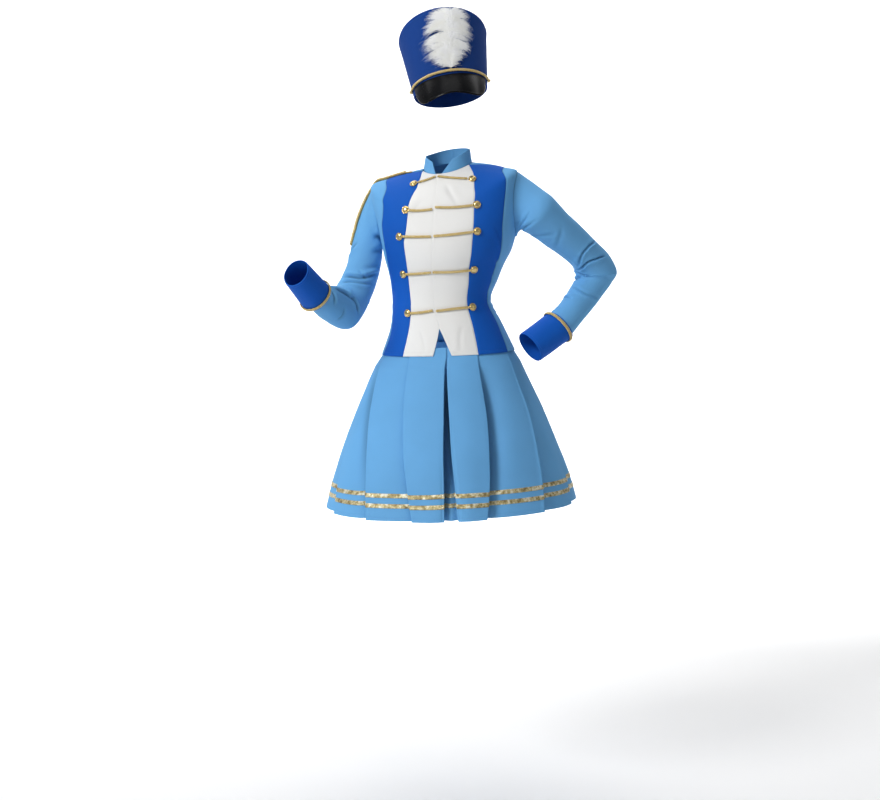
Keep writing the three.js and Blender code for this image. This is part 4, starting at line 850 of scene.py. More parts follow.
def skirt_columns():
    """for each column: edge pair, share between them, offset in mm along the ring, height in steps, drop of a layer in mm"""
    cols = []; n = len(PLEATS)
    for i in range(n):
        sg = PLEATS[i][2]
        # folded edge of pleat i: from the side of the smaller angle to the greater
        # (offset along the ring, position of the layer: 0 top, 1 turned under, 2 the lower face, between them on the bend)
        top = [(-4.0, 0.0), (-2.0, 0.0), (-0.8, 0.0), (0.35, 0.18), (0.85, 0.5), (0.35, 0.82), (-0.8, 1.0), (-4.0, 1.0), (-UNDERLAP + 1.0, 1.03),
               (-UNDERLAP - 0.3, 1.22), (-UNDERLAP - 0.8, 1.5), (-UNDERLAP - 0.3, 1.8), (-UNDERLAP + 1.5, 2.0), (-5.0, 2.0), (1.5, 2.0)]
        seq = top if sg < 0 else [(-x, l) for x, l in reversed(top)]
        cols += [("fold", i, x, l) for x, l in seq]
        inner = np.linspace(0, 1, 6 if i in (2, 7) else 13)
        cols += [("face", i, f, 0.0) for f in inner]
    return cols


def ring_at(w, t, out):
    """points of the skirt's cone at row w (0 to 7), angle t and distance out of the ring, all arrays of one shape"""
    w, t, out = np.broadcast_arrays(np.asarray(w, float), np.asarray(t, float), np.asarray(out, float))
    r = np.clip(w - 2, 0, 5); z, hw, df, db, cx, cy, yaw, roll, _ = (cr(SKIRT[:, k], r) for k in range(9))
    c, q = np.cos(rad(t)), np.sin(rad(t))
    low = ring_point((hw + out) * c, (np.where(q < 0, df, db) + out) * q, z, cx, cy, yaw, roll)
    s = np.clip(13.7 + 0.3 * w, 13.7, 14.0); n, _, _ = torso_axes(s, t); up = torso(s, t) + n * (out - 4.2)[..., None]
    k = np.clip(w - 1, 0, 1)[..., None]
    # between the bodice hem and the first skirt ring
    z1, z2 = torso(np.full_like(s, 14.0), t) + torso_axes(np.full_like(s, 14.0), t)[0] * (out - 4.2)[..., None], ring_point((SKIRT[0, 1] + out) * c, (np.where(q < 0, SKIRT[0, 2], SKIRT[0, 3]) + out) * q, SKIRT[0, 0], 2, 0, 9, 2.3)
    between = z1 * (1 - k) + z2 * k
    return np.where((w < 1)[..., None], up, np.where((w < 2)[..., None], between, low))


def skirt_surface():
    cols = skirt_columns(); n = len(PLEATS); C = len(cols)
    zz = np.linspace(0, 7, 600); probe = ring_at(zz, np.full_like(zz, -70.0), np.zeros_like(zz))
    d = np.concatenate([[0], np.cumsum(np.linalg.norm(np.diff(probe, axis=0), axis=1))])
    w = np.interp(ease(100, 0.55) * d[-1], d, zz)[:, None]
    z = probe[:, 2]; zw = np.interp(w, zz, z); g = np.clip((zw + 443) / (-814 + 443), 0, 1)       # 0 at the bodice hem, 1 at the skirt hem
    step = np.interp(w, [0, 1, 2, 3, 4, 5, 6, 7], [1.25, 1.3, 3.0, 4.5, 6.5, 8.0, 9.0, 10.0])
    radius = np.interp(w, [0, 1, 2, 3, 4, 5, 6, 7], [145, 145, 158, 175, 214, 248, 275, 300])
    T = np.zeros((w.shape[0], C)); H = np.zeros_like(T); painted_pleat_shade = np.zeros_like(T)

    fade = smooth(g / 0.35) * (1 - 0.7 * smooth((g - 0.68) / 0.32))     # folds that open toward the hem

    def edge(i):
        j = i % n; full = 360 * (i // n)
        return mix(PLEATS[j][0], PLEATS[j][1], g) + BOW.get(j, 0.0) * np.sin(np.pi * g) + full

    def depth(i):
        j = i % n
        return PLEATS[j][3] * (fade if j in (2, 3, 4) else g ** 0.8)

    for c, (kind, i, a, l) in enumerate(cols):
        sg, sg2 = PLEATS[i][2], PLEATS[(i + 1) % n][2]
        if kind == "fold":
            off = a + (0.0 if l < 1 else 0.0)
            T[:, c] = (edge(i) + off / radius * 57.3)[:, 0]
            # layers: the top face, the turned-under return close below it, and the lower face
            under = np.minimum(2 * FOLD_R, step * 0.9); deep = depth(i)
            lower = -step - deep
            # painted shade on the layers below the fold's return, by the fold's depth
            painted_pleat_shade[:, c] = (depth(i) / 26 * np.clip(l - 1, 0, 1))[:, 0]
            H[:, c] = np.where(l <= 1, step - under * l, mix(step - under, lower, np.clip(l - 1, 0, 1)))[:, 0]
        else:
            first, last = sg, -sg2; width = (edge(i + 1) - edge(i)) / 57.3 * radius
            m1, m2 = (4.6 if first > 0 else 2.1), (4.6 if last > 0 else 2.1); f = (m1 + (width - m1 - m2) * a) / width
            T[:, c] = mix(edge(i), edge(i + 1), f)[:, 0]
            h0 = step * first; h1 = step * last
            lift = f ** 0.8 if first < 0 else 1 - (1 - f) ** 0.8
            base = mix(h0, h1, lift) if first != last else h0
            if first < 0:      # falls away toward the fold that lies over it, with painted shade close under that fold
                base = base - depth(i) * bump(f * width / PLEATS[i][4]); painted_pleat_shade[:, c] += (depth(i) / 26 * bump(f * width / PLEATS[i][4] * 1.5))[:, 0]
            if last < 0:
                # falls away under the next fold too, with painted shade close under that fold
                j = (i + 1) % n; base = base - depth(j) * bump((1 - f) * width / PLEATS[j][4]); painted_pleat_shade[:, c] += (depth(j) / 26 * bump((1 - f) * width / PLEATS[j][4] * 1.5))[:, 0]
                if j == 0:     # painted shade in the valley beside the first pleat, a dark band fading at the waist and toward the hem
                    painted_pleat_shade[:, c] += (0.62 * smooth(g / 0.25) * (1 - smooth((g - 0.5) / 0.42)) * bump(((1 - f) * width - 20) / 13))[:, 0]
            belly = (1.5 + 3.5 * np.sin(i * 2.4) ** 2) * g * np.sin(np.pi * f) ** 1.2
            sway = 2.2 * g * np.sin(3.1 * f + 1.7 * i + 3.0 * g)
            H[:, c] = (base + belly + sway * np.sin(np.pi * f))[:, 0]
    P = ring_at(w * np.ones_like(T), T, H)
    # soft drift of the whole cloth
    N = grid_normals(P, True); ax = P.mean(1, keepdims=True)
    if (N * (P - ax)).sum(-1).mean() < 0:
        N = -N
    P = P + unit(P - vec(ax[..., 0], ax[..., 1], P[..., 2])) * (ripple3(P, 61, 170.0) * 2.2 * g + 0.35 * ripple3(P, 62, 45.0))[..., None]
    N = grid_normals(P, True)
    if (N * (P - ax)).sum(-1).mean() < 0:
        N = -N
    return P, N, painted_pleat_shade


SK, SKN, SKIRT_PAINTED_SHADE = skirt_surface()
SKU, SKV = arc_uv(SK, True)
SK_UP = SKV[-1:] - SKV                       # distance up from the hem
sk_h = -0.45 * bump((SK_UP - 7.0) / 1.0) - 0.4 * bump(SK_UP / 1.1)
# the skirt's painted shade under its folds goes to the cloth colour
skirt = shell("skirt_cloth", SK + SKN * sk_h[..., None], SKN, 0.9, True, M_BLUE, rim=0.2, uvs=(SKU, SKV), skip=3); paint_shade(skirt, 0.85 * SKIRT_PAINTED_SHADE)
SKIRT_AREA = float(np.linalg.norm(np.cross(np.diff(SK, axis=0)[:, :-1], np.diff(SK, axis=1)[:-1]), axis=-1).sum()) * 1e-6


def skirt_at(up):
    """points and normals of the skirt at distances up from the hem, columns as the skirt's"""
    out, nor = [], []
    for u in np.atleast_1d(up):
        C = SK.shape[1]; p = np.zeros((C, 3)); nn = np.zeros((C, 3))
        for c in range(C):
            x = SK_UP[::-1, c]
            for k in range(3):
                p[c, k] = np.interp(u, x, SK[::-1, c, k]); nn[c, k] = np.interp(u, x, SKN[::-1, c, k])
        out.append(p); nor.append(unit(nn))
    return np.stack(out), np.stack(nor)


def ribbon(name, up, seed):
    """foil ribbon sewn flat on the skirt before the pleats were pressed, so that it goes round the folds too"""
    ups = up + RIBBON_W / 2 * np.array([1.0, 0.82, 0.42, 0.0, -0.42, -0.82, -1.0]); P, N = skirt_at(ups)
    # more columns, so that the crinkle shows
    C = P.shape[1]; k = 2; idx = np.arange(C * k) / k; i = np.floor(idx).astype(int); f = (idx - i)[None, :, None]; j = (i + 1) % C
    P = P[:, i] * (1 - f) + P[:, j] * f; N = unit(N[:, i] * (1 - f) + N[:, j] * f)
    U, W = arc_uv(P, True)
    crinkle = 0.28 * ripple(U, W, seed, 7.0) + 0.2 * ripple(U, W * 2, seed + 1, 3.2)
    edge = np.array([0.0, 1, 1, 1, 1, 1, 0.0])[:, None]
    P = P + N * (0.75 + edge * (0.25 + crinkle))[..., None]
    return shell(name, P, N, 0.45, True, M_FOIL, rim=0.05, uvs=(U, W), sharp=80)


ribbon_upper = ribbon("hem_ribbon_upper_foil", RIBBON_HIGH, 71)
ribbon_lower = ribbon("hem_ribbon_lower_foil", RIBBON_LOW, 73)

# ---- twisted braids and cords -------------------------------------------------------------------------------------------------
def resample(P, N, step):
    d = np.concatenate([[0], np.cumsum(np.linalg.norm(np.diff(P, axis=0), axis=1))]); n = max(int(d[-1] / step), 4)
    x = np.linspace(0, d[-1], n + 1)
    # smooth through the control points
    r = np.interp(x, d, np.arange(len(P))); Q = np.stack([cr(P[:, k], r) for k in range(3)], -1); M = unit(np.stack([cr(N[:, k], r) for k in range(3)], -1))
    return Q, M, x


def rope(name, P, N, strands, off_w, off_t, strand_w, strand_t, pitch, mat, closed=False, step=0.85, sides=6, taper=2.0, seed=1, wobble=0.12):
    """strands twisted round a line, flattened where off_w and off_t differ"""
    Q, M, x = resample(np.asarray(P, float), np.asarray(N, float), step)
    if closed:
        Q, M, x = Q[:-1], M[:-1], x[:-1]; T = unit(np.roll(Q, -1, 0) - np.roll(Q, 1, 0)); total = x[-1] + (x[1] - x[0]); pitch = total / round(total / pitch)
    else:
        T = unit(np.gradient(Q, axis=0)); total = x[-1]
    M = unit(M - T * (M * T).sum(-1, keepdims=True)); S = np.cross(T, M)
    verts, faces, uvs, base = [], [], [], 0; n = len(Q)
    wob = 1 + wobble * ripple(x, x * 0, seed, 11.0)
    for k in range(strands):
        a = 2 * np.pi * (x / pitch + k / strands); end = np.ones(n) if closed else np.clip(np.minimum(x, total - x) / taper + 0.35, 0.35, 1)
        c = Q + M * (off_t * np.sin(a) * end)[:, None] + S * (off_w * np.cos(a) * end * wob)[:, None]
        tt = unit(np.roll(c, -1, 0) - np.roll(c, 1, 0)) if closed else unit(np.gradient(c, axis=0))
        m = unit(M - tt * (M * tt).sum(-1, keepdims=True)); s = np.cross(tt, m)
        q = 2 * np.pi * np.arange(sides) / sides; size = end * (1 + 0.05 * np.sin(x * 3.1 + k))
        ring = c[:, None] + m[:, None] * (strand_t * size[:, None] * np.cos(q))[..., None] + s[:, None] * (strand_w * size[:, None] * np.sin(q))[..., None]
        verts.append(ring.reshape(-1, 3)); uvs.append(np.stack([np.broadcast_to(x[:, None], (n, sides)), np.broadcast_to(np.cos(q), (n, sides))], -1).reshape(-1, 2))
        i, j = np.meshgrid(np.arange(n if closed else n - 1), np.arange(sides), indexing="ij"); i1, j1 = (i + 1) % n, (j + 1) % sides
        faces.append((base + np.stack([i * sides + j, i1 * sides + j, i1 * sides + j1, i * sides + j1], -1)).reshape(-1, 4))
        if not closed:
            verts.append(np.stack([c[0] - tt[0] * strand_t * 0.3, c[-1] + tt[-1] * strand_t * 0.3])); uvs.append(np.zeros((2, 2)))
            b = base + n * sides
            for e, row in ((0, 0), (1, n - 1)):
                jj = np.arange(sides); f = np.stack([np.full(sides, b + e), base + row * sides + jj, base + row * sides + (jj + 1) % sides], -1)
                faces.append(f if e == 0 else f[:, ::-1])
            base += 2
        base += n * sides
    return new_mesh(name, np.concatenate(verts), faces, mat, uv=np.concatenate(uvs), sharp=70)


def torso_line(pts, n, out):
    pts = np.asarray(pts, float); r = np.linspace(0, len(pts) - 1, n); s, t = cr(pts[:, 0], r), cr(pts[:, 1], r)
    P = torso(s, t); N, _, _ = torso_axes(s, t)
    return P + N * out, N


def lathe(name, profile, centre, axis, seg, mat):
    axis = unit(np.asarray(axis, float)); a = unit(np.cross(axis, [0.2, 1, 0.1])); b = np.cross(axis, a); pr = np.asarray(profile, float); n = len(pr)
    q = 2 * np.pi * np.arange(seg) / seg
    V = centre + axis * pr[:, None, None, 1][:, :, 0][..., None] + (a * np.cos(q)[:, None] + b * np.sin(q)[:, None])[None] * pr[:, 0][:, None, None]
    V = V.reshape(-1, 3); V = np.concatenate([V, [centre + axis * pr[0, 1], centre + axis * pr[-1, 1]]])
    i, j = np.meshgrid(np.arange(n - 1), np.arange(seg), indexing="ij"); j1 = (j + 1) % seg
    faces = [np.stack([i * seg + j, i * seg + j1, (i + 1) * seg + j1, (i + 1) * seg + j], -1).reshape(-1, 4)]
    jj = np.arange(seg)
    faces.append(np.stack([np.full(seg, n * seg), (jj + 1) % seg, jj], -1)); faces.append(np.stack([np.full(seg, n * seg + 1), (n - 1) * seg + jj, (n - 1) * seg + (jj + 1) % seg], -1))
    uv = np.concatenate([np.stack([np.broadcast_to(q * 8, (n, seg)), np.broadcast_to(pr[:, :1] + pr[:, 1:], (n, seg))], -1).reshape(-1, 2), np.zeros((2, 2))])
    return new_mesh(name, V, faces, mat, uv=uv, sharp=42)


def button(name, s, t):
    p = torso(s, t); n, _, _ = torso_axes(s, t); R, H = BUTTON_R, BUTTON_H
    dome = [(R * 0.80 * math.sin(a), 1.9 + (H - 1.9) * math.cos(a)) for a in np.linspace(math.pi / 2, 0.04, 11)]
    prof = [(0.5, 0.0), (R * 0.86, 0.0), (R * 0.96, 0.25), (R, 0.8), (R * 0.985, 1.45), (R * 0.94, 1.95), (R * 0.885, 2.1), (R * 0.84, 1.95), (R * 0.815, 1.6)] + dome
    return lathe(name, prof, p + n * (LIFT + 0.75), n, 44, M_BUTTON)


pieces = []                                   # (object, nodes it stands for, slot)
for i, row in enumerate(FROGS):
    for side, (a, b, c, d) in (("right", (0, 1, 2, 3)), ("left", (6, 7, 4, 5))):
        s0, t0, s1, t1 = row[a], row[b], row[c], row[d]
        pieces.append((button(f"button_{side}_{i + 1}_gold", s0, t0), f"button_{side}_{i + 1}", "gold_button"))
        f = torso(s0, t0); ln = float(np.linalg.norm(torso(s1, t1) - f)); u0 = (BUTTON_R - 0.6) / ln
        sag = 0.10 * math.sin(2.2 * i + (1 if side == "left" else 0)) - (0.5 if i == 0 and side == "left" else 0.0)
        P, N = torso_line([(mix(s0, s1, u) + sag * math.sin(math.pi * u) * 0.5, mix(t0, t1, u)) for u in np.linspace(u0, 1.0, 9)], 40, BRAID_HT + LIFT + 0.35)
        pieces.append((rope(f"braid_{side}_{i + 1}_twist", P, N, 2, 1.95, 1.0, 1.7, 1.4, 10.6, M_BRAID, seed=80 + 2 * i, taper=1.2), f"braid_{side}_{i + 1}", "gold_braid"))

for side, (CP, CN) in (("left", (CFL, CFLN)), ("right", (CFR, CFRN))):
    rows = CUFF[side]; phi = np.linspace(0, 2 * np.pi, 73)
    v = np.full_like(phi, 0.16); P = tube_point(rows, v, phi, side)
    ax = P[:-1].mean(0); dv = tube_point(rows, v + 0.05, phi, side) - tube_point(rows, v - 0.05, phi, side); dp = tube_point(rows, v, phi + 0.02, side) - tube_point(rows, v, phi - 0.02, side)
    N = unit(np.cross(dv, dp)); N = N if (N * (P - ax)).sum(-1).mean() > 0 else -N
    pieces.append((rope(f"cuff_trim_{side}_twist", P + N * (TRIM_HT + LIFT - 0.1), N, 3, 2.7, 0.8, 1.35, 1.25, 11.5, M_BRAID, closed=True, seed=95), f"cuff_trim_{side}", "gold_braid"))

# shoulder cord, sewn from near the collar over the shoulder and down the sleeve
P1, N1 = torso_line(CORD_TORSO, 14, 2.9)
cs = np.asarray(CORD_SLEEVE, float); r = np.linspace(0, len(cs) - 1, 24); cv, cp = cr(cs[:, 0], r), rad(cr(cs[:, 1], r))
P2 = sleeve_point("right", cv, cp); dv = sleeve_point("right", cv + 0.04, cp) - sleeve_point("right", np.maximum(cv - 0.04, 0), cp); dp = sleeve_point("right", cv, cp + 0.05) - sleeve_point("right", cv, cp - 0.05)
N2 = unit(np.cross(dv, dp)); N2 = N2 if N2[12, 2] > -0.2 and (N2[:, 0] < 0).mean() > 0.5 else -N2
CP = np.concatenate([P1, P2 + N2 * 3.0]); CN = np.concatenate([N1, N2])
keep = np.linspace(0, len(CP) - 1, 17).round().astype(int)
shoulder_cord = rope("shoulder_cord_twist", CP[keep], CN[keep], 3, 2.8, 2.4, 2.3, 2.3, 15.0, M_BRAID, seed=97, step=0.8, taper=6.0)
pieces.append((shoulder_cord, "shoulder_cord", "gold_braid"))
# the sewn loop at its upper end
c0, n0 = CP[0], CN[0]; t0 = unit(CP[0] - CP[2]); s0 = np.cross(n0, t0)
LP = [c0 + t0 * x + s0 * y - n0 * z for x, y, z in ((-2, 2.0, 0.5), (3.5, 4.2, 1.4), (9.5, 4.6, 2.2), (14.5, 2.2, 2.6), (15.5, -1.2, 2.6), (11.5, -3.8, 2.2), (5.5, -4.0, 1.4), (-1, -2.2, 0.5))]
cord_loop = rope("shoulder_cord_loop", LP, [n0] * len(LP), 2, 0.8, 0.8, 0.95, 0.95, 5.0, M_BRAID, seed=98, step=0.6, taper=1.0)

# ---- hat -------------------------------------------------------------------------------------------------------------------------
def hat_place(p):
    a, b = rad(HAT["tilt"]), rad(HAT["roll"]); x, y, z = p[..., 0], p[..., 1], p[..., 2]
    Y, Z = y * np.cos(a) + z * np.sin(a), z * np.cos(a) - y * np.sin(a)
    return vec(x * np.cos(b) - Z * np.sin(b) + HAT["cx"], Y + HAT["cy"], x * np.sin(b) + Z * np.cos(b) + HAT["cz"])


def hat_local(v, t, out=0.0):
    v, t, out = np.broadcast_arrays(np.asarray(v, float), np.asarray(t, float), np.asarray(out, float))
    w, d = mix(HAT["baseW"], HAT["topW"], v) + out, mix(HAT["baseD"], HAT["topD"], v) + out
    y = d * np.sin(rad(t)) + HAT["topCy"] * v
    return vec(w * np.cos(rad(t)), y, v * (HAT["height"] - y * np.tan(rad(HAT["topSlant"]))))


def hat_point(v, t, out=0.0):
    return hat_place(hat_local(v, t, out))


def hat_normal(v, t):
    v, t = np.broadcast_arrays(np.asarray(v, float), np.asarray(t, float))
    return unit(hat_point(v, t, 1.0) - hat_point(v, t, 0.0))


v = ease(52, 0.82)[:, None]; t = (np.arange(200) * 1.8)[None, :]
HP = hat_point(v * np.ones_like(t), t * np.ones_like(v)); HN = grid_normals(HP, True)
if (HN * (HP - HP.mean(1, keepdims=True))).sum(-1).mean() < 0:
    HN = -HN
HU, HV = arc_uv(HP, True); up, dn = HV, HV[-1:] - HV
hh = -0.8 * bump(up / 1.6) - 0.9 * bump(dn / 1.9) + 0.6 * bump((dn - 3.4) / 1.6) - 0.45 * bump((dn - 7.0) / 1.0) - 0.4 * bump((up - 8.0) / 0.9)
seam_t = ((t - 90 + 180) % 360 - 180) * np.pi / 180 * 100
hh = hh - 0.9 * bump(seam_t / 1.3) + 0.35 * bump((np.abs(seam_t) - 4.5) / 2.2) + 0.35 * ripple3(HP, 101, 70.0) + 0.15 * ripple3(HP, 102, 26.0)
hat_side = shell("hat_side_cloth", HP + HN * hh[..., None], HN, HAT_WALL - 0.3, True, M_HAT, rim=0.35)


def hat_top_grid():
    f = (1 - (1 - np.linspace(0, 1, 26)) ** 1.25)[:, None]; f[0] = 0.012; t = (np.arange(200) * 1.8)[None, :]
    e = hat_local(0.985 * np.ones_like(t), t, -HAT_WALL - 0.25); c = vec(0, HAT["topCy"], HAT["height"] * 0.985)
    p = c + (e - c) * f[..., None]; p = np.array(p)
    p[..., 2] += HAT["dome"] * (1 - f * f) - 0.9 * bump((1 - f) * 105 / 1.6) * np.ones_like(t)
    return hat_place(p)


TP = hat_top_grid(); TN = grid_normals(TP, True)
if TN[..., 2].mean() < 0:
    TN = -TN
TP = TP + TN * (0.4 * ripple3(TP, 103, 60.0) * np.linspace(1, 0.2, 26)[:, None])[..., None]
hat_top = shell("hat_top_cloth", TP, TN, HAT_WALL - 0.4, True, M_HAT, rim=0.0)

# peak
def peak_surface(nu=26, nw=120):
    w = np.linspace(-66, 66, nw)[None, :]; u = ease(nu, 0.7)[:, None]; a = np.abs(w)
    f = np.interp(a, PEAK[:, 0], PEAK[:, 1]); dr = np.interp(a, PEAK[:, 0], PEAK[:, 2])
    k = np.ones(9) / 9; fs = np.convolve(np.pad(f[0], 4, "edge"), k, "valid")[None]; ds = np.convolve(np.pad(dr[0], 4, "edge"), k, "valid")[None]
    fs[:, :3], ds[:, :3], fs[:, -3:], ds[:, -3:] = f[:, :3], dr[:, :3], f[:, -3:], dr[:, -3:]
    t = -90 + w; e = hat_local(VISOR["root"] * np.ones_like(t), t, 0.7); d = unit(vec(0.35 * np.cos(rad(t)), np.sin(rad(t)), 0 * t))
    p = e + d * (fs * u + 3 * u * (1 - u) + 1.6 * np.sin(np.pi * u) * np.cos(rad(w)) ** 2)[..., None]; p = np.array(p); p[..., 2] -= ds * u
    size = np.hypot(fs, ds); n = np.array(d * (ds / size)[..., None]); n[..., 2] = fs / size
    return p, n * np.ones_like(p)


pp, pn = peak_surface(); V1 = hat_place(pp + pn * (VISOR["wall"] - 0.2)); VN = unit(hat_place(pp + pn) - hat_place(pp))
VU, VW = arc_uv(V1, False); near = np.minimum(np.minimum(VU, VU[:, -1:] - VU), VW[-1:] - VW)
V1 = V1 + VN * (-0.5 * bump(near / 1.2) + 0.35 * bump((near - 3.2) / 1.2) - 0.35 * bump((near - 5.2) / 0.7))[..., None]
visor = shell("visor_patent", V1, VN, 1.7, False, M_PATENT, rim=0.35)

w = np.linspace(-1, 1, 25); hv, ht = mix(HATCORD["mid"], HATCORD["ends"], w * w), -90 + HATCORD["half"] * w
KP = hat_point(hv, ht, HATCORD_R + 0.1); KN = unit(KP - hat_point(hv, ht, 0.0))
hat_cord = rope("hat_cord_twist", KP, KN, 3, 2.0, 1.8, 1.5, 1.45, 12.0, M_BRAID, seed=105, step=0.8, taper=3.0)
pieces.append((hat_cord, "hat_cord", "gold_braid"))
for k, q in (("left", 1), ("right", -1)):      # small gilt studs that hold the cord's ends
    tt = -90 + HATCORD["half"] * q; c = hat_point(HATCORD["ends"], tt, 1.1); n = hat_normal(HATCORD["ends"], tt)
    prof = [(0.4, 0.0), (4.6, 0.0), (5.2, 0.5), (5.1, 1.1)] + [(4.6 * math.sin(a), 1.2 + 6.6 * math.cos(a) * 0.98) for a in np.linspace(math.pi / 2, 0.05, 9)]
    pieces.append((lathe(f"hat_stud_{k}", prof, c, n, 28, M_BUTTON), None, "gold_button"))

# ---- plume: a bushy feather, quill with some thousands of barbs ------------------------------------------------------------------
def plume():
    g = np.random.default_rng(9)
    FS, VS, TS = [-0.1, 0.0, 0.33, 0.6, 0.88, 1.0, 1.1], [0.045, 0.13, 0.42, 0.65, 0.90, 0.98, 1.05], [-85.5, -85.5, -85.8, -81.8, -77.4, -76.6, -76.2]

    def spine(f, out):
        return hat_point(np.interp(f, FS, VS), np.interp(f, FS, TS), out)

    def axes(f):
        p = spine(f, 0.0); up = unit(spine(f + 0.05, 0.0) - spine(f - 0.05, 0.0))
        n = unit(spine(f, 4.0) - p); return p, up, unit(np.cross(up, n)), n
    # barbs of the two vanes, then short ones that cover the quill, all rooted along it
    NV, NC, SEG = 2350, 520, 8; NB = NV + NC; cover = np.arange(NB) >= NV
    f0 = np.where(cover, 0.20 + 0.78 * g.random(NB), g.beta(1.08, 1.0, NB) * 0.985 + 0.008)
    side = np.where(g.random(NB) < 0.5, -1.0, 1.0); layer = np.where(cover, 1.0, g.random(NB) ** 0.9)
    # tufts: the barbs of one clump draw together toward their tips, fewer and larger toward the top
    per = np.interp(f0, [0, 0.4, 1.0], [34, 24, 17]); clump = np.floor(f0 * per + np.where(side > 0, 0.37, 0.0)); mid = (clump + 0.5 - np.where(side > 0, 0.37, 0.0)) / per
    key = clump.astype(int) * 2 + (side > 0); cg = g.normal(size=(200, 4)); cj = cg[key]
    reach = np.where(side > 0, np.interp(f0, [0, 0.04, 0.12, 0.22, 0.36, 0.55, 0.7, 0.82, 0.93, 1.0], [14, 26, 42, 54, 61, 68, 70, 62, 48, 34]),
                     np.interp(f0, [0, 0.04, 0.12, 0.22, 0.36, 0.55, 0.7, 0.82, 0.93, 1.0], [20, 34, 52, 62, 66, 70, 68, 62, 50, 34]))
    L = reach * (0.80 + 0.24 * g.random(NB) + 0.10 * cj[:, 0]) * (1 - 0.30 * layer)
    L = np.where(cover, (20 + 20 * g.random(NB)) * (1 - 0.35 * smooth((f0 - 0.7) / 0.3)), L)
    rise = np.interp(f0, [0, 0.1, 0.25, 0.45, 0.65, 0.8, 0.92, 1], [16, 20, 14, 6, 9, 22, 42, 60]) + 5 * g.normal(size=NB) + 7 * cj[:, 1] * np.clip(f0 * 2, 0.3, 1)
    rise = rad(np.where(cover, 62 + 16 * g.normal(size=NB), rise))
    # the quill ends well below the tips of the uppermost barbs
    root = np.where(f0 > 0.6, 0.6 + (f0 - 0.6) * 0.60, f0)
    p, up, sd, n = axes(root); H = 147.0
    p = p + n * (2.2 + np.where(cover, 3.2, 2.6 * g.random(NB)))[:, None]
    tau = np.linspace(0, 1, SEG + 1)[None, :]
    droop = (0.10 + 0.16 * g.random(NB) + 0.05 * cj[:, 2])[:, None] * np.where(cover, 0.4, 1.0)[:, None]
    a = L[:, None] * (tau * np.cos(rise)[:, None])
    b = L[:, None] * (tau * np.sin(rise)[:, None] - droop * tau ** 2.2 * 0.8) - ((f0 - mid) * H * np.where(cover, 0, 0.80) * (0.35 + 0.65 * (1 - layer)))[:, None] * tau ** 1.3
    curl = (0.9 * np.sin(tau * (4 + 4 * g.random(NB)[:, None]) + 6.28 * g.random(NB)[:, None])) * tau
    forward = np.interp(f0, [0, 0.2, 0.6, 1], [5, 12, 16, 12])
    h = (forward * (0.22 + 0.95 * layer))[:, None] * np.sin(np.pi * np.clip(tau * 0.80 + np.where(cover, 0.2, 0.16)[:, None], 0, 1)) ** 0.9 + 0.8 + (1.6 * cj[:, 3])[:, None] * tau * 0.5
    ang = a / 104.0                            # the hat's own roundness carries the tips back
    C = p[:, None] + sd[:, None] * (side[:, None] * (104 * np.sin(ang)))[..., None] + up[:, None] * (b + curl)[..., None] + n[:, None] * (h - 104 * (1 - np.cos(ang)) * 0.93 + 0.3 * curl)[..., None]
    T = unit(np.gradient(C, axis=1)); S = unit(np.cross(T, n[:, None])); M = np.cross(S, T)
    wd = (0.42 + 0.24 * g.random(NB))[:, None] * (1 - tau ** 2.4 * 0.84); th = 0.24 * (1 - 0.7 * tau)
    q = 2 * np.pi * np.arange(3) / 3 + np.pi / 2
    ring = C[:, :, None] + S[:, :, None] * (wd[..., None] * np.cos(q))[..., None] + M[:, :, None] * (th[..., None] * np.sin(q) * np.ones_like(wd[..., None]))[..., None]
    V = ring.reshape(-1, 3); base = (np.arange(NB) * (SEG + 1) * 3)[:, None, None]; i = np.arange(SEG)[None, :, None]; j = np.arange(3)[None, None, :]
    quad = np.stack(np.broadcast_arrays(base + i * 3 + j, base + i * 3 + (j + 1) % 3, base + (i + 1) * 3 + (j + 1) % 3, base + (i + 1) * 3 + j), -1).reshape(-1, 4)
    b0 = (np.arange(NB) * (SEG + 1) * 3)[:, None]
    caps = np.concatenate([b0 + np.array([[0, 2, 1]]), b0 + SEG * 3 + np.array([[0, 1, 2]])])
    uv = np.stack(np.broadcast_arrays(tau[..., None] * L[:, None, None], np.zeros((1, 1, 3))), -1).reshape(-1, 2)
    barbs_ob = new_mesh("plume_barbs", V, [quad, caps], M_FEATHER, uv=uv, sharp=25)
    f = np.linspace(-0.03, 0.80, 40); QP = spine(f, 3.0); QN = unit(spine(f, 8.0) - spine(f, 3.0))
    x = np.linspace(0, 1, 40); sides = 10; q = 2 * np.pi * np.arange(sides) / sides; Tq = unit(np.gradient(QP, axis=0)); Sq = unit(np.cross(Tq, QN)); Mq = np.cross(Sq, Tq)
    rr = mix(1.5, 0.3, x ** 0.8)
    ring = QP[:, None] + Sq[:, None] * (rr[:, None] * np.cos(q))[..., None] + Mq[:, None] * (rr[:, None] * 0.8 * np.sin(q))[..., None]
    i, j = np.meshgrid(np.arange(39), np.arange(sides), indexing="ij"); j1 = (j + 1) % sides
    fq = np.stack([i * sides + j, (i + 1) * sides + j, (i + 1) * sides + j1, i * sides + j1], -1).reshape(-1, 4)
    quill = new_mesh("plume_quill", np.concatenate([ring.reshape(-1, 3)]), [fq, np.arange(sides)[None, ::-1], (39 * sides + np.arange(sides))[None]], M_QUILL, uv=np.zeros((40 * sides, 2)))
    return barbs_ob, quill


plume_barbs, plume_quill = plume()

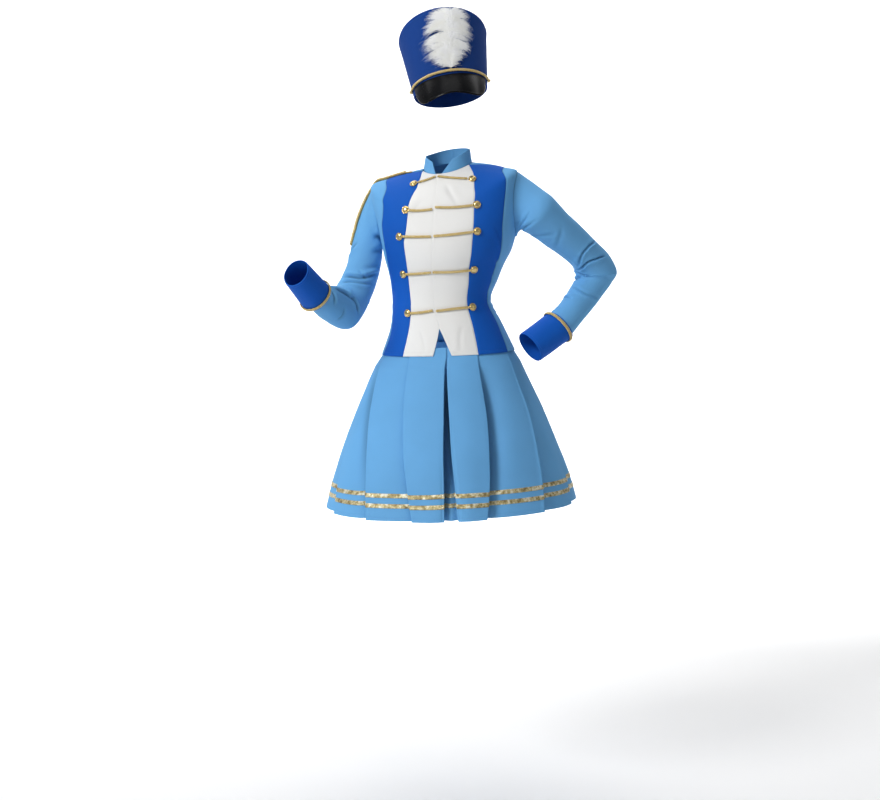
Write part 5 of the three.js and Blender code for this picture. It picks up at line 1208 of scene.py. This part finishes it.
# ---- sewing: rows of short stitches ----------------------------------------------------------------------------------------------
def stitches(name, lines, mat, length=2.5, gap=1.0, half=0.32, proud=0.22):
    """lines are (points, normals); each stitch is a small rounded bar lying on the cloth"""
    verts, faces, uvs, base = [], [], [], 0
    prof = [(-1.0, 0.35, -0.9), (-0.72, 1.0, 0.0), (0.72, 1.0, 0.0), (1.0, 0.35, -0.9)]; q = 2 * np.pi * np.arange(5) / 5
    for P, N in lines:
        d = np.concatenate([[0], np.cumsum(np.linalg.norm(np.diff(P, axis=0), axis=1))]); x = np.arange(length, d[-1] - length, length + gap)
        C = np.stack([np.interp(x, d, P[:, k]) for k in range(3)], -1); M = unit(np.stack([np.interp(x, d, N[:, k]) for k in range(3)], -1))
        T = unit(np.stack([np.interp(x + 0.3, d, P[:, k]) - np.interp(x - 0.3, d, P[:, k]) for k in range(3)], -1)); S = np.cross(T, M)
        for k, (a, r, dz) in enumerate(prof):
            c = C + T * (a * length / 2) + M * (proud + dz * proud)
            verts.append((c[:, None] + S[:, None] * (half * r * np.cos(q))[None, :, None] + M[:, None] * (half * 0.8 * r * np.sin(q))[None, :, None]).reshape(-1, 3))
        m = len(C); n = 5
        for k in range(3):
            i, j = np.meshgrid(np.arange(m), np.arange(n), indexing="ij"); a0 = base + k * m * n; a1 = base + (k + 1) * m * n
            faces.append(np.stack([a0 + i * n + j, a0 + i * n + (j + 1) % n, a1 + i * n + (j + 1) % n, a1 + i * n + j], -1).reshape(-1, 4))
        i = np.arange(m)[:, None] * n
        faces.append(base + i + np.arange(n)[None, ::-1]); faces.append(base + 3 * m * n + i + np.arange(n)[None])
        base += 4 * m * n
    V = np.concatenate(verts)
    return new_mesh(name, V, faces, mat, uv=V[:, :2], sharp=80)


def row_at(P, N, up, from_end=True, axis=0):
    """line on a grid a given distance from its last (or first) row or column"""
    if axis == 1:
        P, N = P.transpose(1, 0, 2), N.transpose(1, 0, 2)
    d = np.linalg.norm(np.diff(P, axis=0), axis=-1); W = np.concatenate([np.zeros((1, P.shape[1])), np.cumsum(d, 0)], 0)
    X = W[-1:] - W if from_end else W
    out, nor = [], []
    for c in range(P.shape[1]):
        x = X[::-1, c] if from_end else X[:, c]; p = P[::-1, c] if from_end else P[:, c]; n = N[::-1, c] if from_end else N[:, c]
        out.append([np.interp(up, x, p[:, k]) for k in range(3)]); nor.append([np.interp(up, x, n[:, k]) for k in range(3)])
    return np.array(out), unit(np.array(nor))


sew = []
sew.append(("stitching_royal", stitches("stitching_royal", [row_at(RR, RRN, 9.0), row_at(RL, RLN, 9.0)], M_TH_ROYAL), "cloth_royal"))
sew.append(("stitching_white", stitches("stitching_white", [row_at(PR, PRN, 9.0), row_at(PL, PLN, 9.0), row_at(PL, PLN, 6.0, False, 1)], M_TH_WHITE), "cloth_white"))
sew.append(("stitching_blue", stitches("stitching_blue", [row_at(SR, SRN, 9.0), row_at(SL, SLN, 9.0), row_at(BK, BKN, 9.0), row_at(CL, CLN, 5.5), row_at(CR, CRN, 5.5)], M_TH_BLUE), "cloth_blue"))
cfl = [row_at(CFL, CFLN, 6.0), row_at(CFR, CFRN, 6.0)]
sew.append(("stitching_cuffs", stitches("stitching_cuffs", [(np.concatenate([p, p[:1]]), np.concatenate([n, n[:1]])) for p, n in cfl], M_TH_ROYAL), "cloth_royal"))
hp = row_at(SK + SKN * sk_h[..., None], SKN, 7.0)
sew.append(("stitching_hem", stitches("stitching_hem", [(np.concatenate([hp[0], hp[0][:1]]), np.concatenate([hp[1], hp[1][:1]]))], M_TH_BLUE, length=2.8, gap=1.2, half=0.28, proud=0.15), "cloth_blue"))
hp = row_at(HP, HN, 7.0)
sew.append(("stitching_hat", stitches("stitching_hat", [(np.concatenate([hp[0], hp[0][:1]]), np.concatenate([hp[1], hp[1][:1]]))], M_TH_ROYAL, length=3.2, gap=1.2), "cloth_hat"))

# ---- what stands for what, and where it rides -----------------------------------------------------------------------------------------
def put(ob, node, sheet=None):
    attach(ob, "root")
    if node:
        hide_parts(*([node] if isinstance(node, str) else node))


def grid_area(P, closed):
    Q = np.concatenate([P, P[:, :1]], 1) if closed else P
    a, b = np.diff(Q, axis=0), np.diff(Q, axis=1)
    return float(np.linalg.norm(np.cross(a[:, :-1], b[:-1]), axis=-1).sum()) * 1e-6


def cut(P, closed, w, l, held, rests=(), with_pieces=()):
    area = grid_area(P, closed)
    print("SHEET area", round(area, 4), "of", round(w * l, 4))
    return dict(flat=(w, l), held=held, area=min(area, w * l), rests_on=list(rests), with_pieces=list(with_pieces))


S = {k: o for k, o, _ in sew}
put(plastron_right, "plastron_right", cut(PR, False, 0.11, 0.47, "stretched"))
put(plastron_left, "plastron_left", cut(PL, False, 0.13, 0.47, "stretched"))
put(royal_right, "royal_panel_right", cut(RR, False, 0.15, 0.47, "stretched"))
put(royal_left, "royal_panel_left", cut(RL, False, 0.15, 0.47, "stretched"))
put(side_right, "side_front_right", cut(SR, False, 0.12, 0.46, "stretched"))
put(side_left, "side_front_left", cut(SL, False, 0.12, 0.46, "stretched"))
put(back, "back", cut(BK, False, 0.46, 0.50, "stretched"))
put(collar_left, "collar_left", cut(CL, False, 0.20, 0.045, "stretched"))
put(collar_right, "collar_right", cut(CR, False, 0.19, 0.045, "stretched"))
put(sleeve_left, ("sleeve_left_upper", "sleeve_left_lower"), cut(SLP, True, 0.36, 0.56, "gathered"))
put(sleeve_right, ("sleeve_right_upper", "sleeve_right_lower"), cut(SRP, True, 0.36, 0.52, "gathered"))
put(cuff_left, "cuff_left", cut(CFL, True, 0.28, 0.10, "folded"))
put(cuff_right, "cuff_right", cut(CFR, True, 0.28, 0.10, "folded"))
put(skirt, "skirt", cut(SK, True, 2.35, 0.40, "hung"))
put(hat_side, "hat_side", cut(HP, True, 0.68, 0.175, "stretched"))
put(hat_top, "hat_top", cut(TP, True, 0.215, 0.235, "stretched"))
put(ribbon_upper, "hem_ribbon_upper", dict(flat=(2.66, RIBBON_W * MM), held="stretched"))
put(ribbon_lower, "hem_ribbon_lower", dict(flat=(2.72, RIBBON_W * MM), held="stretched"))
put(visor, "visor")
put(plume_barbs, "plume")
put(plume_quill, None)
put(cord_loop, None)
for ob, node, slot in pieces:
    put(ob, node)
for name, ob, slot in sew:
    put(ob, None)

total = 0
for ob in bpy.context.scene.objects:
    if ob.type == "MESH" and not ob.name.startswith("studio"):
        n = sum(len(p.vertices) - 2 for p in ob.data.polygons); total += n
        if n > 100000:
            print("TRIS", ob.name, n)
print("TRIS total", total)
